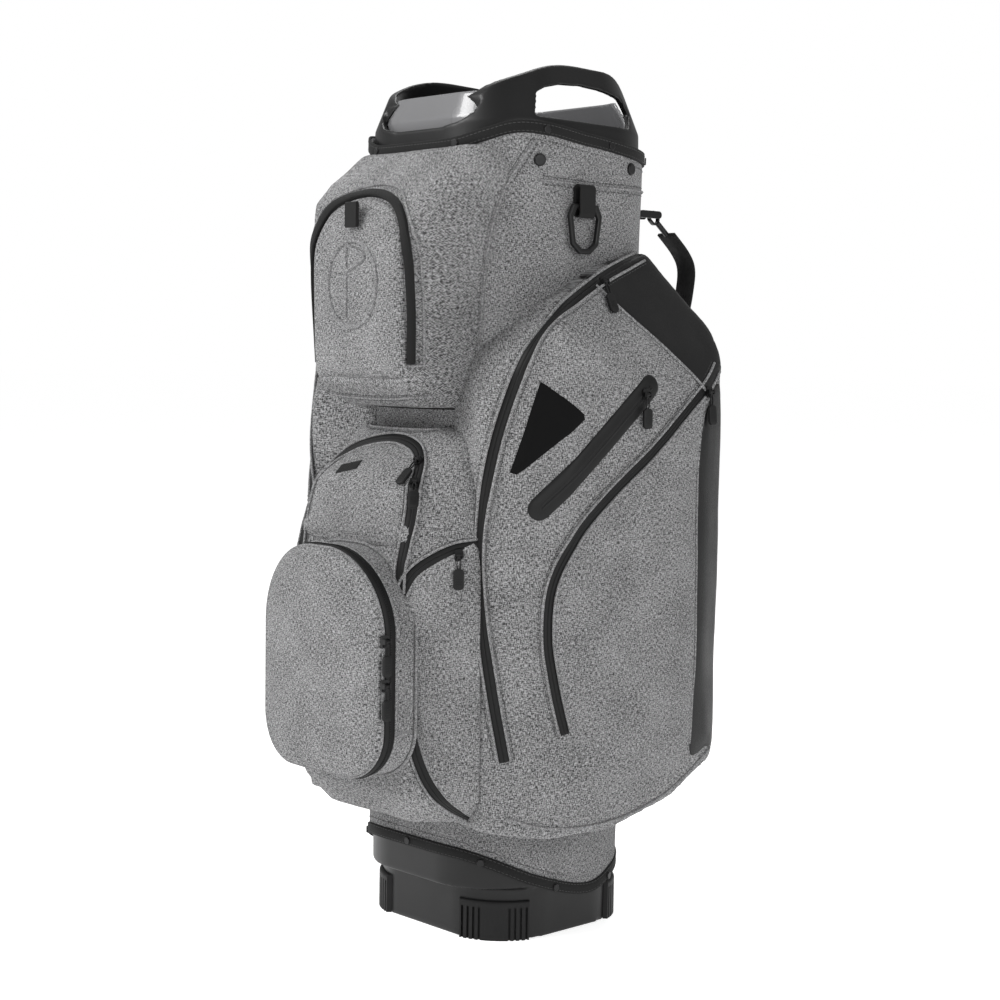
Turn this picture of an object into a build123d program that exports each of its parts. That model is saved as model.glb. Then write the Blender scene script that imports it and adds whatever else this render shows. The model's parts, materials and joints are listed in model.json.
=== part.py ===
from build123d import *
from math import atan2, degrees, hypot
import os

os.makedirs("parts", exist_ok=True)

# A golf cart bag. +Z is up, -Y is the front with the cooler and ball pockets, +Y is the spine that
# leans on the cart, and +X is the right-hand side. The origin is the middle of the base's underside.
# Millimetres throughout.

# ---------------------------------------------------------------- driving dimensions
bag_height = 916            # ground to the top of the two lift handles
tube_foot = 240             # width and depth of the fabric tube at its foot
tube_head = 262             # the same at its head
tube_foot_radius = 84
tube_head_radius = 90
tube_lean = 8               # how far the head stands behind the foot
tube_low, tube_high = 36, 850
tube_wall = 3
fabric = 3                  # padded fabric of the pockets
gap = 0.3                   # clearance between bodies that move past each other

base_wall = 4
ledge_height = 62           # underside of the lip on the front of the base moulding
base_low_depth = 212        # the base is cut back below the lip
band_width = 11             # black webbing round the tube's two ends

grid_top, grid_thick = 848, 12
grid_size, grid_radius = 222.4, 69.6
grid_bar = 6                # bars of the club divider
club_rows = [3, 4, 4, 3]    # club slots in each row, from the front

flap_hinge_height = 592     # valuables pocket
flap_face = -197
lid_hinge_height = 420      # cooler pocket
cooler_face = -205
cooler_half = 88
ball_low, ball_high = 190, 418
ball_half = 95
ball_face = -250
door_thick = 6

# Height of the tube's edges round the bag, as (y, z): the front dips at the head and lifts at the foot.
foot_edge = [(-140, 92), (-112, 88), (-45, 58), (30, 38), (80, 50), (140, 66)]
head_edge = [(-140, 829), (-122, 831), (-108, 840), (-86, 849), (-56, 848), (-10, 842), (20, 839), (80, 832), (145, 829)]

# Zips on the right-hand side, as (y, z) where they are seen square on.
apparel_zip_line = [(66, 716), (12, 694), (-60, 656), (-112, 606), (-134, 550), (-142, 480)]
back_zip_line = [(134, 597), (34, 518), (-38, 464), (-90, 412), (-103, 360), (-92, 296), (-70, 234)]
sleeve_ends = [(24, 584), (-103, 462)]
sleeve_width = 24
sleeve_travel = 96


# ---------------------------------------------------------------- helpers
def tube_size(z):
    return tube_foot + (tube_head - tube_foot) * z / tube_high


def tube_radius(z):
    return tube_foot_radius + (tube_head_radius - tube_foot_radius) * z / tube_high


def tube_centre(z):
    return tube_lean * z / tube_high


def tube_solid(grow, low=tube_low - 30, high=tube_high + 30):
    """The tube's outer form between two heights, grown outwards on all four sides."""
    with BuildPart() as solid:
        for z in (low, high):
            with BuildSketch(Plane((0, tube_centre(z), z))):
                RectangleRounded(tube_size(z) + 2 * grow, tube_size(z) + 2 * grow, tube_radius(z) + grow)
        loft()
    return solid.part


def under_edge(points, lift=0.0):
    """All that lies under an edge line seen from the side."""
    line = [(y, z + lift) for y, z in points]
    with BuildPart() as solid:
        with BuildSketch(Plane.YZ):
            with BuildLine():
                edge = Spline(*line)
                Polyline(edge @ 1, (line[-1][0], -50), (line[0][0], -50), edge @ 0)
            make_face()
        extrude(amount=200, both=True)
    return solid.part


def side_prism(points, near=100, far=260):
    """A shape seen from the right-hand side, carried from x = near to x = far."""
    with BuildPart() as solid:
        with BuildSketch(Plane.YZ.offset(near)):
            Polygon(*points, align=None)
        extrude(amount=far - near)
    return solid.part


def front_prism(points, near=-100, far=-300):
    """A shape seen from the front, as (x, z), carried from y = near to y = far."""
    with BuildPart() as solid:
        with BuildSketch(Plane.XZ.offset(-near)):
            Polygon(*points, align=None)
        extrude(amount=near - far)
    return solid.part


def ribbon(points, width, plane, depth):
    """A strip of one width along a line in a plane, carried through depth."""
    with BuildPart() as solid:
        with BuildSketch(plane):
            with BuildLine() as line:
                Spline(*points)
            trace(line.line, line_width=width)
        extrude(amount=depth)
    return solid.part


def mirrored(shape):
    return mirror(shape, about=Plane.YZ)


def write(shape, name):
    shape.label = name
    export_step(shape, f"parts/{name}.step")


def seat(shape, start, direction):
    """Where a line from outside first meets a shape, and the outward normal there."""
    hits = shape.find_intersection_points(Axis(start, direction))
    nearest = min(hits, key=lambda hit: (hit[0] - Vector(*start)).length)
    point, normal = nearest
    if normal.dot(Vector(*direction)) > 0:
        normal = normal * -1
    return point, normal.normalized()


def seat_plane(point, normal, up=(0, 0, 1)):
    """A plane on a surface: its z is outwards and its y is as near to up as the surface allows."""
    across = Vector(*up).cross(normal)
    return Plane(origin=point, x_dir=across, z_dir=normal)


# ---------------------------------------------------------------- tube
tube_outer = tube_solid(0)
tube_inner = tube_solid(-tube_wall)
tube_clear = tube_solid(gap)
tube_shell = (tube_outer - tube_inner - under_edge(foot_edge)) & under_edge(head_edge)
right_back = Plane(origin=(0, 4, 0), z_dir=(1, 1, 0))
right_front = Plane(origin=(0, 4, 0), z_dir=(1, -1, 0))
tube_panels = {
    "tube_right_panel": (Keep.TOP, Keep.TOP),
    "tube_left_panel": (Keep.BOTTOM, Keep.BOTTOM),
    "tube_spine_panel": (Keep.TOP, Keep.BOTTOM),
    "tube_front_panel": (Keep.BOTTOM, Keep.TOP),
}
for name, (back_side, front_side) in tube_panels.items():
    panel = split(split(tube_shell, bisect_by=right_back, keep=back_side), bisect_by=right_front, keep=front_side)
    write(panel, name)

band_shell = tube_solid(2.2) - tube_solid(0)
foot_band = (band_shell & under_edge(foot_edge, band_width)) - under_edge(foot_edge)
write(foot_band, "base_trim_band")
head_band = (band_shell & under_edge(head_edge, 2)) - under_edge(head_edge, -band_width)
write(head_band, "collar_trim_band")

with BuildPart() as stays:
    for side_x in (-1, 1):
        for side_y in (-1, 1):
            with BuildSketch(Plane((side_x * 91.6, side_y * 91.6 + tube_centre(112), 112))):
                Circle(3)
            with BuildSketch(Plane((side_x * 98.8, side_y * 98.8 + tube_centre(808), 808))):
                Circle(3)
            loft()
write(stays.part, "corner_stays")

# ---------------------------------------------------------------- base
with BuildPart() as base:
    with BuildSketch(Plane((0, 8, 0))):
        RectangleRounded(230, base_low_depth, 72)
    with BuildSketch(Plane((0, 8, ledge_height))):
        RectangleRounded(233, base_low_depth, 74)
    loft()
    with BuildSketch(Plane((0, 0.8, ledge_height - 6))):
        RectangleRounded(234.4, 234.4, 81)
    with BuildSketch(Plane((0, 1.0, 112))):
        RectangleRounded(235.4, 235.4, 81)
    loft()
    with BuildSketch(Plane((0, 8, 5))):
        RectangleRounded(222, base_low_depth - 2 * base_wall, 68)
    extrude(amount=ledge_height - 5, mode=Mode.SUBTRACT)
    with BuildSketch(Plane((0, 1, ledge_height))):
        RectangleRounded(226, 226, 77)
    extrude(amount=60, mode=Mode.SUBTRACT)
write(base.part, "base_moulding")

foot_height, foot_reach = 42, 46
foot_centre = (96, 90)
with BuildPart() as base_blank:
    with BuildSketch(Plane((0, 8, 0))):
        RectangleRounded(230, base_low_depth, 72)
    with BuildSketch(Plane((0, 8, foot_height))):
        RectangleRounded(232, base_low_depth, 73)
    loft()
with BuildPart() as foot_ring:
    with BuildSketch(Plane((0, 8, 0))):
        RectangleRounded(239, base_low_depth + 9, 76)
    extrude(amount=foot_height)
    fillet(foot_ring.faces().sort_by(Axis.Z)[-1].outer_wire().edges(), 3.5)
    add(base_blank.part, mode=Mode.SUBTRACT)
with BuildPart() as groove_floor:
    with BuildSketch(Plane((0, 8, -1))):
        RectangleRounded(234, base_low_depth + 4, 74)
    extrude(amount=60)
foot_names = {"rubber_foot_front_right": (1, -1), "rubber_foot_front_left": (-1, -1),
              "rubber_foot_back_right": (1, 1), "rubber_foot_back_left": (-1, 1)}
for name, (side_x, side_y) in foot_names.items():
    corner = Plane(origin=(0, 8, 0), z_dir=(side_x, side_y * 0.96, 0), x_dir=(-side_y * 0.96, side_x, 0))
    with BuildPart() as foot:
        with BuildSketch(corner.offset(60)):
            Rectangle(2 * foot_reach - 18, 4 * foot_height)
        extrude(amount=90)
        add(foot_ring.part, mode=Mode.INTERSECT)
        with BuildSketch(corner.offset(60)):
            for side in (-1, 1):
                for rib in range(4):
                    with Locations((side * (16 + 6 * rib), 0)):
                        Rectangle(2.4, 70)
        groove_cut = extrude(amount=90, mode=Mode.PRIVATE)
    grooves = groove_cut - groove_floor.part
    write(foot.part - grooves, name)


# ---------------------------------------------------------------- fasteners on a curved wall
def studs(wall, places, radius, thick, dome=True):
    """Round heads standing on a wall, each where a level line towards the axis meets it."""
    heads = []
    for x, y, z in places:
        point, normal = seat(wall, (2.5 * x, 2.5 * y, z), (-x, -y, 0))
        with BuildPart() as head:
            with BuildSketch(Plane(origin=point, z_dir=normal)):
                Circle(radius)
            extrude(amount=thick)
            if dome:
                fillet(head.faces().sort_by(Axis(point, normal))[-1].edges(), thick * 0.6)
        heads.append(head.part)
    return heads


def edge_height(points, y):
    """Height of an edge line at one y."""
    edge = Edge.make_spline([Vector(*point) for point in points])
    samples = [edge @ (step / 400) for step in range(401)]
    return min(samples, key=lambda sample: abs(sample.X - y)).Y


head_rivet_places = [(60, -118), (-60, -118), (118, -52), (-118, -52), (118, 30), (-118, 30), (105, 108), (-105, 108),
                     (0, 125)]
head_rivet_seats = [(x, y, edge_height(head_edge, y) - 5) for x, y in head_rivet_places]
write(Compound(studs(tube_solid(2.25), head_rivet_seats, 4.0, 1.6)), "collar_rivets")
foot_rivet_places = [(84, -92), (-84, -92), (118, -20), (-118, -20), (114, 62), (-114, 62), (0, 120), (0, -120)]
foot_rivet_seats = [(x, y, edge_height(foot_edge, y) + 5.5) for x, y in foot_rivet_places]
write(Compound(studs(tube_solid(2.25), foot_rivet_seats, 4.0, 1.6)), "base_rivets")

# ---------------------------------------------------------------- collar, liner and club divider
handle_top = [(-118, 848), (-110, 860), (-93, 886), (-66, 900), (-35, 911), (8, bag_height), (40, 915), (68, 912),
              (92, 896), (103, 875), (107, 854)]
handle_hole = [(-62, 857), (-54, 882), (-42, 888), (-20, 893), (12, 895), (40, 893), (72, 887), (86, 872), (72, 855)]
lean_from = 852             # the handles lean inwards above this
with BuildPart() as collar:
    for wall, mode in ((0, Mode.ADD), (7.7, Mode.SUBTRACT)):
        with BuildSketch(Plane((0, tube_centre(830), 790))):
            RectangleRounded(253.4 - 2 * wall, 253.4 - 2 * wall, 86 - wall)
        with BuildSketch(Plane((0, tube_centre(830), lean_from))):
            RectangleRounded(251.4 - 2 * wall, 251.4 - 2 * wall, 85 - wall)
        loft(mode=mode)
        with BuildSketch(Plane((0, tube_centre(830), lean_from))):
            RectangleRounded(251.4 - 2 * wall, 251.4 - 2 * wall, 85 - wall)
        with BuildSketch(Plane((0, tube_centre(830), 925))):
            RectangleRounded(196 - 2 * wall, 196 - 2 * wall, 60 - wall)
        loft(mode=mode)
    with BuildSketch(Plane.YZ):
        with BuildLine():
            arch = Spline(*handle_top)
            Polyline(arch @ 1, (150, 851), (150, 808), (-150, 808), (-150, 846), arch @ 0)
        make_face()
        with BuildLine():
            Polyline(*handle_hole, close=True)
        make_face(mode=Mode.SUBTRACT)
    extrude(amount=200, both=True, mode=Mode.INTERSECT)
    # the front rim is low between the handles' front legs
    with BuildSketch(Plane.XZ.offset(100)):
        with BuildLine():
            Polyline((-34, 847), (34, 847), (61, 852), (73, 861), (82, 888), (82, 940), (-82, 940), (-82, 888),
                     (-73, 861), (-61, 852), close=True)
        make_face()
    extrude(amount=50, mode=Mode.SUBTRACT)
write(collar.part, "top_collar")

# upright at first, then leaning inwards with the handles' legs
liner_levels = [(836, 231, 74), (850, 231, 74), (858, 231, 75.5), (925, 180, 52.3)]
with BuildPart() as liner:
    for grow, mode in ((0, Mode.ADD), (-4, Mode.SUBTRACT)):
        for (low, low_size, low_round), (high, high_size, high_round) in zip(liner_levels, liner_levels[1:]):
            for height, size, rounding in ((low, low_size, low_round), (high, high_size, high_round)):
                with BuildSketch(Plane((0, tube_centre(830), height))):
                    RectangleRounded(size + 2 * grow, size + 2 * grow, rounding + grow)
            loft(mode=mode)
    with BuildSketch(Plane.YZ):
        with BuildLine():
            rim = Spline((-86, 884), (-74, 862), (-40, 850), (40, 850), (88, 862), (102, 890))
            Polyline(rim @ 1, (150, 892), (150, 836), (-150, 836), (-150, 884), rim @ 0)
        make_face()
    extrude(amount=200, both=True, mode=Mode.INTERSECT)
    add(collar.part, mode=Mode.SUBTRACT)
write(liner.part, "collar_liner")

grid_y = tube_centre(830)
inner_half = grid_size / 2 - grid_bar
row_pitch = (2 * inner_half + grid_bar) / len(club_rows)
row_ys = [grid_y - inner_half - grid_bar / 2 + row_pitch * k for k in range(1, len(club_rows))]


def slot_pitch(count):
    return (2 * inner_half + grid_bar) / count


with BuildPart() as grid:
    with BuildSketch(Plane((0, grid_y, grid_top - grid_thick))):
        RectangleRounded(grid_size, grid_size, grid_radius)
    extrude(amount=grid_thick)
    with BuildSketch(Plane((0, grid_y, grid_top - grid_thick))):
        RectangleRounded(2 * inner_half, 2 * inner_half, grid_radius - grid_bar)
        for y in row_ys:
            with Locations((0, y - grid_y)):
                Rectangle(grid_size, grid_bar, mode=Mode.SUBTRACT)
        for row, count in enumerate(club_rows):
            row_middle = -inner_half - grid_bar / 2 + row_pitch * (row + 0.5)
            for bar in range(1, count):
                with Locations((-inner_half - grid_bar / 2 + slot_pitch(count) * bar, row_middle)):
                    Rectangle(grid_bar, row_pitch, mode=Mode.SUBTRACT)
    extrude(amount=grid_thick, mode=Mode.SUBTRACT)
write(grid.part, "divider_grid")

sheet = 1.5
sheet_low, sheet_high = 66, grid_top - grid_thick
with BuildPart() as row_sheets:
    for y in row_ys:
        with Locations((0, y, (sheet_low + sheet_high) / 2)):
            Box(200, sheet, sheet_high - sheet_low)
write(row_sheets.part, "divider_row_sheets")
with BuildPart() as slot_sheets:
    for row, count in enumerate(club_rows):
        low_y = grid_y - inner_half - grid_bar / 2 + row_pitch * row
        edge_row = row in (0, len(club_rows) - 1)
        depth = row_pitch - sheet - (16 if edge_row else 0)
        shift = 0 if not edge_row else (8 if row == 0 else -8)
        for bar in range(1, count):
            x = -inner_half - grid_bar / 2 + slot_pitch(count) * bar
            with Locations((x, low_y + row_pitch / 2 + shift, (sheet_low + sheet_high) / 2)):
                Box(sheet, depth, sheet_high - sheet_low)
write(slot_sheets.part, "divider_slot_sheets")


# ---------------------------------------------------------------- front body: cooler and corner pockets
def front_form(grow):
    """The flared lower body on the front of the tube, from the waist seam to its underside."""
    sections = [
        (136 - grow, 62, 104, 132, 176),
        (168 - grow, 82, 138, 146, 198),
        (400, 86, 138, 148, 205),
        (480, 76, 126, 136, 190),
        (536 + grow, 56, 100, 118, 136),
    ]
    with BuildPart() as solid:
        for z, flat_half, side_half, side_y, front_y in sections:
            with BuildSketch(Plane.XY.offset(z)):
                Polygon(
                    (-flat_half - grow * 0.4, -front_y - grow), (flat_half + grow * 0.4, -front_y - grow),
                    (side_half + grow, -side_y - grow * 0.4), (side_half + grow, -60), (-side_half - grow, -60),
                    (-side_half - grow, -side_y - grow * 0.4), align=None)
        loft(ruled=True)
    return solid.part


front_outer = front_form(0)
front_hollow = front_form(-fabric)
front_shell = front_outer - front_hollow - tube_clear
lid_outline = [(-78, lid_hinge_height), (-78, 468), (-66, 494), (-42, 514), (0, 522), (42, 514), (66, 494), (78, 468),
               (78, lid_hinge_height)]
lid_opening = [(-78 - gap, lid_hinge_height - gap), (-78 - gap, 468), (-66, 494 + gap), (-42, 514 + gap), (0, 522 + gap),
               (42, 514 + gap), (66, 494 + gap), (78 + gap, 468), (78 + gap, lid_hinge_height - gap)]
cooler_front = Box(2 * cooler_half, 400, 1200, align=(Align.CENTER, Align.CENTER, Align.MIN))
side_walls = [Location((s * (cooler_half - 1.5), -130, 330)) * Box(3, 190, 420) for s in (-1, 1)]
cooler_skin = (front_shell & cooler_front) - front_prism(lid_opening, -60)
cooler_sides = [(wall & front_hollow) - tube_clear for wall in side_walls]
lid_skin = front_outer - front_hollow - tube_clear
write(lid_skin & front_prism(lid_outline, -60), "cooler_lid")
liner_skin = front_form(-fabric - gap) - front_form(-fabric - 6)
liner_box = Location((0, -165, 275)) * Box(2 * cooler_half - 12, 190, 230)
write((liner_skin & liner_box) - tube_solid(2), "cooler_foam_liner")
corner_box = Location((cooler_half + 60 + gap, -150, 262)) * Box(120, 300, 324)
waist_gores = [front_shell & Location((side * (cooler_half + 60), -150, 520)) * Box(120, 300, 191.2) for side in (-1, 1)]


# ---------------------------------------------------------------- side pockets
def side_form(grow):
    """The right-hand apparel pocket: its plan, its side outline and its front outline, all met."""
    with BuildPart() as solid:
        with BuildSketch(Plane.XY.offset(60)):
            Polygon(
                (60, -118), (104, -132), (139 + grow, -147), (166 + grow, -118), (187 + grow, -72),
                (202 + grow, 20), (204 + grow, 64), (203 + grow, 112), (192 + grow, 147 + grow),
                (103 - grow, 150 + grow), (103 - grow, 90), (60, 90), align=None)
        extrude(amount=760)
        with BuildSketch(Plane.YZ):
            Polygon(
                (-150, 134 - grow), (-90, 126 - grow), (0, 124 - grow), (76, 142 - grow), (136, 180 - grow),
                (160, 206 - grow), (160, 632 + grow), (76, 724 + grow), (12, 704 + grow), (-60, 668 + grow),
                (-112, 618 + grow), (-150, 556 + grow), align=None)
        extrude(amount=300, mode=Mode.INTERSECT)
        with BuildSketch(Plane.XZ):
            Polygon(
                (60, 100), (172 + grow, 100), (190 + grow, 150), (199 + grow, 210), (204 + grow, 300),
                (206 + grow, 420), (206 + grow, 540), (202 + grow, 590), (189 + grow, 622), (168 + grow, 662),
                (150 + grow, 704), (143 + grow, 742), (60, 742), align=None)
        extrude(amount=400, both=True, mode=Mode.INTERSECT)
    return solid.part


side_outer = side_form(0)
front_keep_out = front_form(gap)
side_shell = side_outer - side_form(-fabric) - tube_clear - front_keep_out
write(side_shell, "apparel_pocket_right")
write(mirrored(side_shell), "apparel_pocket_left")

corner_shell = (front_shell & corner_box) - side_outer
write(corner_shell, "corner_pocket_right")
write(mirrored(corner_shell), "corner_pocket_left")
cooler_all = cooler_skin + cooler_sides + waist_gores
write(cooler_all - side_outer - mirrored(side_outer), "cooler_pocket_shell")

side_skin_1 = side_form(1.4) - side_outer - front_keep_out - tube_clear
apparel_tape = side_skin_1 & ribbon(apparel_zip_line, 10, Plane.YZ.offset(100), 160)
back_tape = side_skin_1 & ribbon(back_zip_line, 11, Plane.YZ.offset(100), 160)

sleeve_run_y = sleeve_ends[1][0] - sleeve_ends[0][0]
sleeve_run_z = sleeve_ends[1][1] - sleeve_ends[0][1]
sleeve_length = hypot(sleeve_run_y, sleeve_run_z)
sleeve_tilt = degrees(atan2(-sleeve_run_z, -sleeve_run_y))
sleeve_middle = ((sleeve_ends[0][0] + sleeve_ends[1][0]) / 2, (sleeve_ends[0][1] + sleeve_ends[1][1]) / 2)
with BuildPart() as sleeve_prism:
    with BuildSketch(Plane.YZ.offset(100)):
        with Locations(sleeve_middle):
            SlotCenterToCenter(sleeve_length, sleeve_width, rotation=sleeve_tilt)
    extrude(amount=160)
sleeve_solid = sleeve_prism.part
sleeve_frame = (side_form(2.4) - side_outer) & sleeve_solid
write(sleeve_frame, "sleeve_zip_frame_right")
write(mirrored(sleeve_frame), "sleeve_zip_frame_left")

patch_outline = [(-104, 586), (-60, 556), (-58, 549), (-124, 497), (-129, 503), (-109, 584)]
patch = (side_form(2.0) - side_outer) & side_prism(patch_outline)
write(patch, "glove_patch")

corner_tape_line = [(-141, 421), (-168, 417), (-190, 404), (-204, 372)]
corner_tape_skin = (front_form(1.4) - front_outer) & corner_box
corner_tape = (corner_tape_skin - side_form(gap)) & ribbon(corner_tape_line, 10, Plane.YZ.offset(60), 160)
right_tapes = [apparel_tape, back_tape, corner_tape]
write(Compound(right_tapes + [mirrored(tape) for tape in right_tapes]), "side_zip_tapes")

# ---------------------------------------------------------------- valuables pocket, on the upper front
pocket_sections = [(560, 78, 160), (584, 86, 194), (640, 87, 197), (720, 92, 197), (768, 104, 190), (806, 118, 142)]


def valuables_form(grow):
    with BuildPart() as solid:
        for z, half, front_y in pocket_sections:
            lift = -grow if z == pocket_sections[0][0] else (grow if z == pocket_sections[-1][0] else 0)
            with BuildSketch(Plane.XY.offset(z + lift)):
                Polygon(
                    (-half + 18, -front_y - grow), (half - 18, -front_y - grow), (half + grow, -front_y + 22),
                    (half + grow, -70), (-half - grow, -70), (-half - grow, -front_y + 22), align=None)
        loft(ruled=True)
    return solid.part


flap_outline = [(-70, 594), (-70, 715), (-62, 742), (-42, 762), (0, 771), (42, 762), (62, 742), (70, 715), (70, 594)]
pocket_mouth = [(-62, 606), (-62, 712), (-54, 734), (-36, 752), (0, 758), (36, 752), (54, 734), (62, 712), (62, 606)]
valuables_shell = valuables_form(0) - valuables_form(-fabric) - tube_clear - front_prism(pocket_mouth, -150)
valuables_shell = valuables_shell - side_outer - mirrored(side_outer)
flap_clear_back = front_prism([(-80, 760), (-80, 800), (80, 800), (80, 760)], flap_face - gap, -230)
write(valuables_shell, "valuables_pocket_shell")
with BuildPart() as flap:
    with BuildSketch(Plane.XZ.offset(-flap_face + gap)):
        Polygon(*flap_outline, align=None)
    extrude(amount=door_thick)
    fillet(flap.faces().sort_by(Axis.Y)[0].edges().sort_by(Axis.Z)[1:], 2)
write(flap.part, "valuables_flap")
with BuildPart() as flap_tab:
    with Locations((0, flap_face - gap - door_thick - 2.4, 754)):
        Box(18, 4, 26)
    fillet(flap_tab.edges().filter_by(Axis.X), 1.8)
write(flap_tab.part, "flap_pull_tab")
magnet_places = [(-34, 0), (34, 0)]
with BuildPart() as flap_magnets:
    with BuildSketch(Plane.XZ.offset(-flap_face - 2.0)):
        with Locations(*[(x, 742) for x, _ in magnet_places]):
            Circle(6)
    extrude(amount=2.0 + gap)
write(flap_magnets.part, "flap_magnets")

# ---------------------------------------------------------------- ball pocket
ball_middle = (ball_low + ball_high) / 2
ball_tall = ball_high - ball_low
door_back = ball_face + door_thick


def ball_outline(grow):
    """The ball pocket's outline in its own plane, rounder at the top than at the bottom."""
    with BuildSketch() as outline:
        with Locations((0, ball_middle)):
            RectangleRounded(2 * (ball_half + grow), ball_tall + 2 * grow, 50 + grow)
        with Locations((0, ball_middle - 60)):
            RectangleRounded(2 * (ball_half + grow), ball_tall + 120 + 2 * grow, 84 + grow, mode=Mode.INTERSECT)
    return outline.sketch


with BuildPart() as ball_shell:
    with BuildSketch(Plane.XZ.offset(-cooler_face + gap)):
        add(ball_outline(0))
    extrude(amount=cooler_face - gap - (door_back + gap))
    with BuildSketch(Plane.XZ.offset(-cooler_face + gap + 2)):
        add(ball_outline(-4))
    extrude(amount=60, mode=Mode.SUBTRACT)
write(ball_shell.part, "ball_pocket_shell")
with BuildPart() as ball_door:
    with BuildSketch(Plane.XZ.offset(-door_back)):
        add(ball_outline(0))
    extrude(amount=door_thick)
    fillet(ball_door.faces().sort_by(Axis.Y)[0].edges(), 4)
write(ball_door.part, "ball_pocket_door")
with BuildPart() as ball_zip:
    with BuildSketch(Plane.XZ.offset(-door_back - gap - 11)):
        add(ball_outline(1.6))
        add(ball_outline(0), mode=Mode.SUBTRACT)
    extrude(amount=11)
write(ball_zip.part, "ball_zip_tape")

# ---------------------------------------------------------------- zip sliders and their pulls
pin_radius, bore_radius, barrel_radius = 0.8, 0.86, 1.7
pin_height = 5.2
slider_wide, slider_long = 9.0, 12.0
pull_long, pull_wide = 34.0, 11.0


def zip_slider(plane):
    """The slider's body, its two lugs and the pin that the pull hangs on."""
    with BuildPart() as slider:
        with BuildSketch(plane.offset(0.1)):
            RectangleRounded(slider_wide, slider_long, 2.5)
        extrude(amount=3.0)
        with BuildSketch(plane.offset(0.1)):
            with GridLocations(slider_wide - 1.6, 0, 2, 1):
                Rectangle(1.4, 5)
        extrude(amount=pin_height + 1.4)
        with BuildSketch(Plane(origin=plane.from_local_coords((-slider_wide / 2 + 0.2, 0, pin_height)), z_dir=plane.x_dir)):
            Circle(pin_radius)
        extrude(amount=slider_wide - 0.4)
    return slider.part


def zip_pull(plane):
    """A barrel on the slider's pin, a cord loop and a moulded tab, hanging down the surface."""
    with BuildPart() as pull:
        half = 2.5
        with BuildSketch(Plane(origin=plane.from_local_coords((-half, 0, pin_height)), z_dir=plane.x_dir)):
            Circle(barrel_radius)
        extrude(amount=2 * half)
        with BuildSketch(plane.offset(pin_height - 0.9)):
            with Locations((0, -8)):
                Rectangle(4.6, 15)
            with Locations((0, -8.6)):
                SlotOverall(9, 2.0, rotation=90, mode=Mode.SUBTRACT)
        extrude(amount=1.8)
        with BuildSketch(plane.offset(pin_height - 1.5)):
            with Locations((0, 9.5 - pull_long)):
                RectangleRounded(pull_wide, 21, 4.5)
        extrude(amount=3.4)
        with BuildSketch(Plane(origin=plane.from_local_coords((-half - 1, 0, pin_height)), z_dir=plane.x_dir)):
            Circle(bore_radius)
        extrude(amount=2 * half + 2, mode=Mode.SUBTRACT)
    return pull.part


ball_pull_y = door_back + gap + 5.5
pull_seats = {
    "zip_pull_apparel_right": seat_plane(*seat(side_form(1.4), (400, -2, 689), (-1, 0, 0))),
    "zip_pull_side_right": seat_plane(*seat(side_form(1.4), (400, 112, 578), (-1, 0, 0))),
    "zip_pull_corner_right": seat_plane(*seat(front_form(1.4), (122, -400, 414), (0, 1, 0))),
    "zip_pull_cooler_upper": seat_plane(*seat(front_outer, (64, -400, 505), (0, 1, 0))),
    "zip_pull_cooler_lower": seat_plane(*seat(front_outer, (77, -400, 484), (0, 1, 0))),
    "zip_pull_ball_upper": Plane(origin=(ball_half + 1.6, ball_pull_y, 332), x_dir=(0, 1, 0), z_dir=(1, 0, 0)),
    "zip_pull_ball_lower": Plane(origin=(ball_half + 1.6, ball_pull_y, 288), x_dir=(0, 1, 0), z_dir=(1, 0, 0)),
}
for name in ("apparel", "side", "corner"):
    right = pull_seats[f"zip_pull_{name}_right"]
    flip = lambda v: (-v.X, v.Y, v.Z)
    pull_seats[f"zip_pull_{name}_left"] = Plane(origin=flip(right.origin), x_dir=tuple(
        -c for c in flip(right.x_dir)), z_dir=flip(right.z_dir))
sliders = [zip_slider(plane) for plane in pull_seats.values()]
write(Compound(sliders), "zip_sliders")
for name, plane in pull_seats.items():
    write(zip_pull(plane), name)


def sleeve_point(distance):
    """Where the sleeve zip is, as (y, z), at a distance from its upper end."""
    part_way = distance / sleeve_length
    return sleeve_ends[0][0] + sleeve_run_y * part_way, sleeve_ends[0][1] + sleeve_run_z * part_way


# The sleeve's slider runs along the flat part of its zip, and carries its own pull.
run_start = seat(side_form(2.4), (400, *sleeve_point(12)), (-1, 0, 0))
run_end = seat(side_form(2.4), (400, *sleeve_point(12 + sleeve_travel)), (-1, 0, 0))
sleeve_run = (run_end[0] - run_start[0]).normalized()
sleeve_seat = seat_plane(run_start[0], run_start[1])
sleeve_seats = {"right": sleeve_seat}
sleeve_seats["left"] = Plane(origin=flip(sleeve_seat.origin), x_dir=tuple(-c for c in flip(sleeve_seat.x_dir)),
                             z_dir=flip(sleeve_seat.z_dir))
for side, plane in sleeve_seats.items():
    lifted = plane.offset(gap)
    write(zip_slider(lifted), f"sleeve_slider_{side}")
    write(zip_pull(lifted), f"zip_pull_sleeve_{side}")

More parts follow.
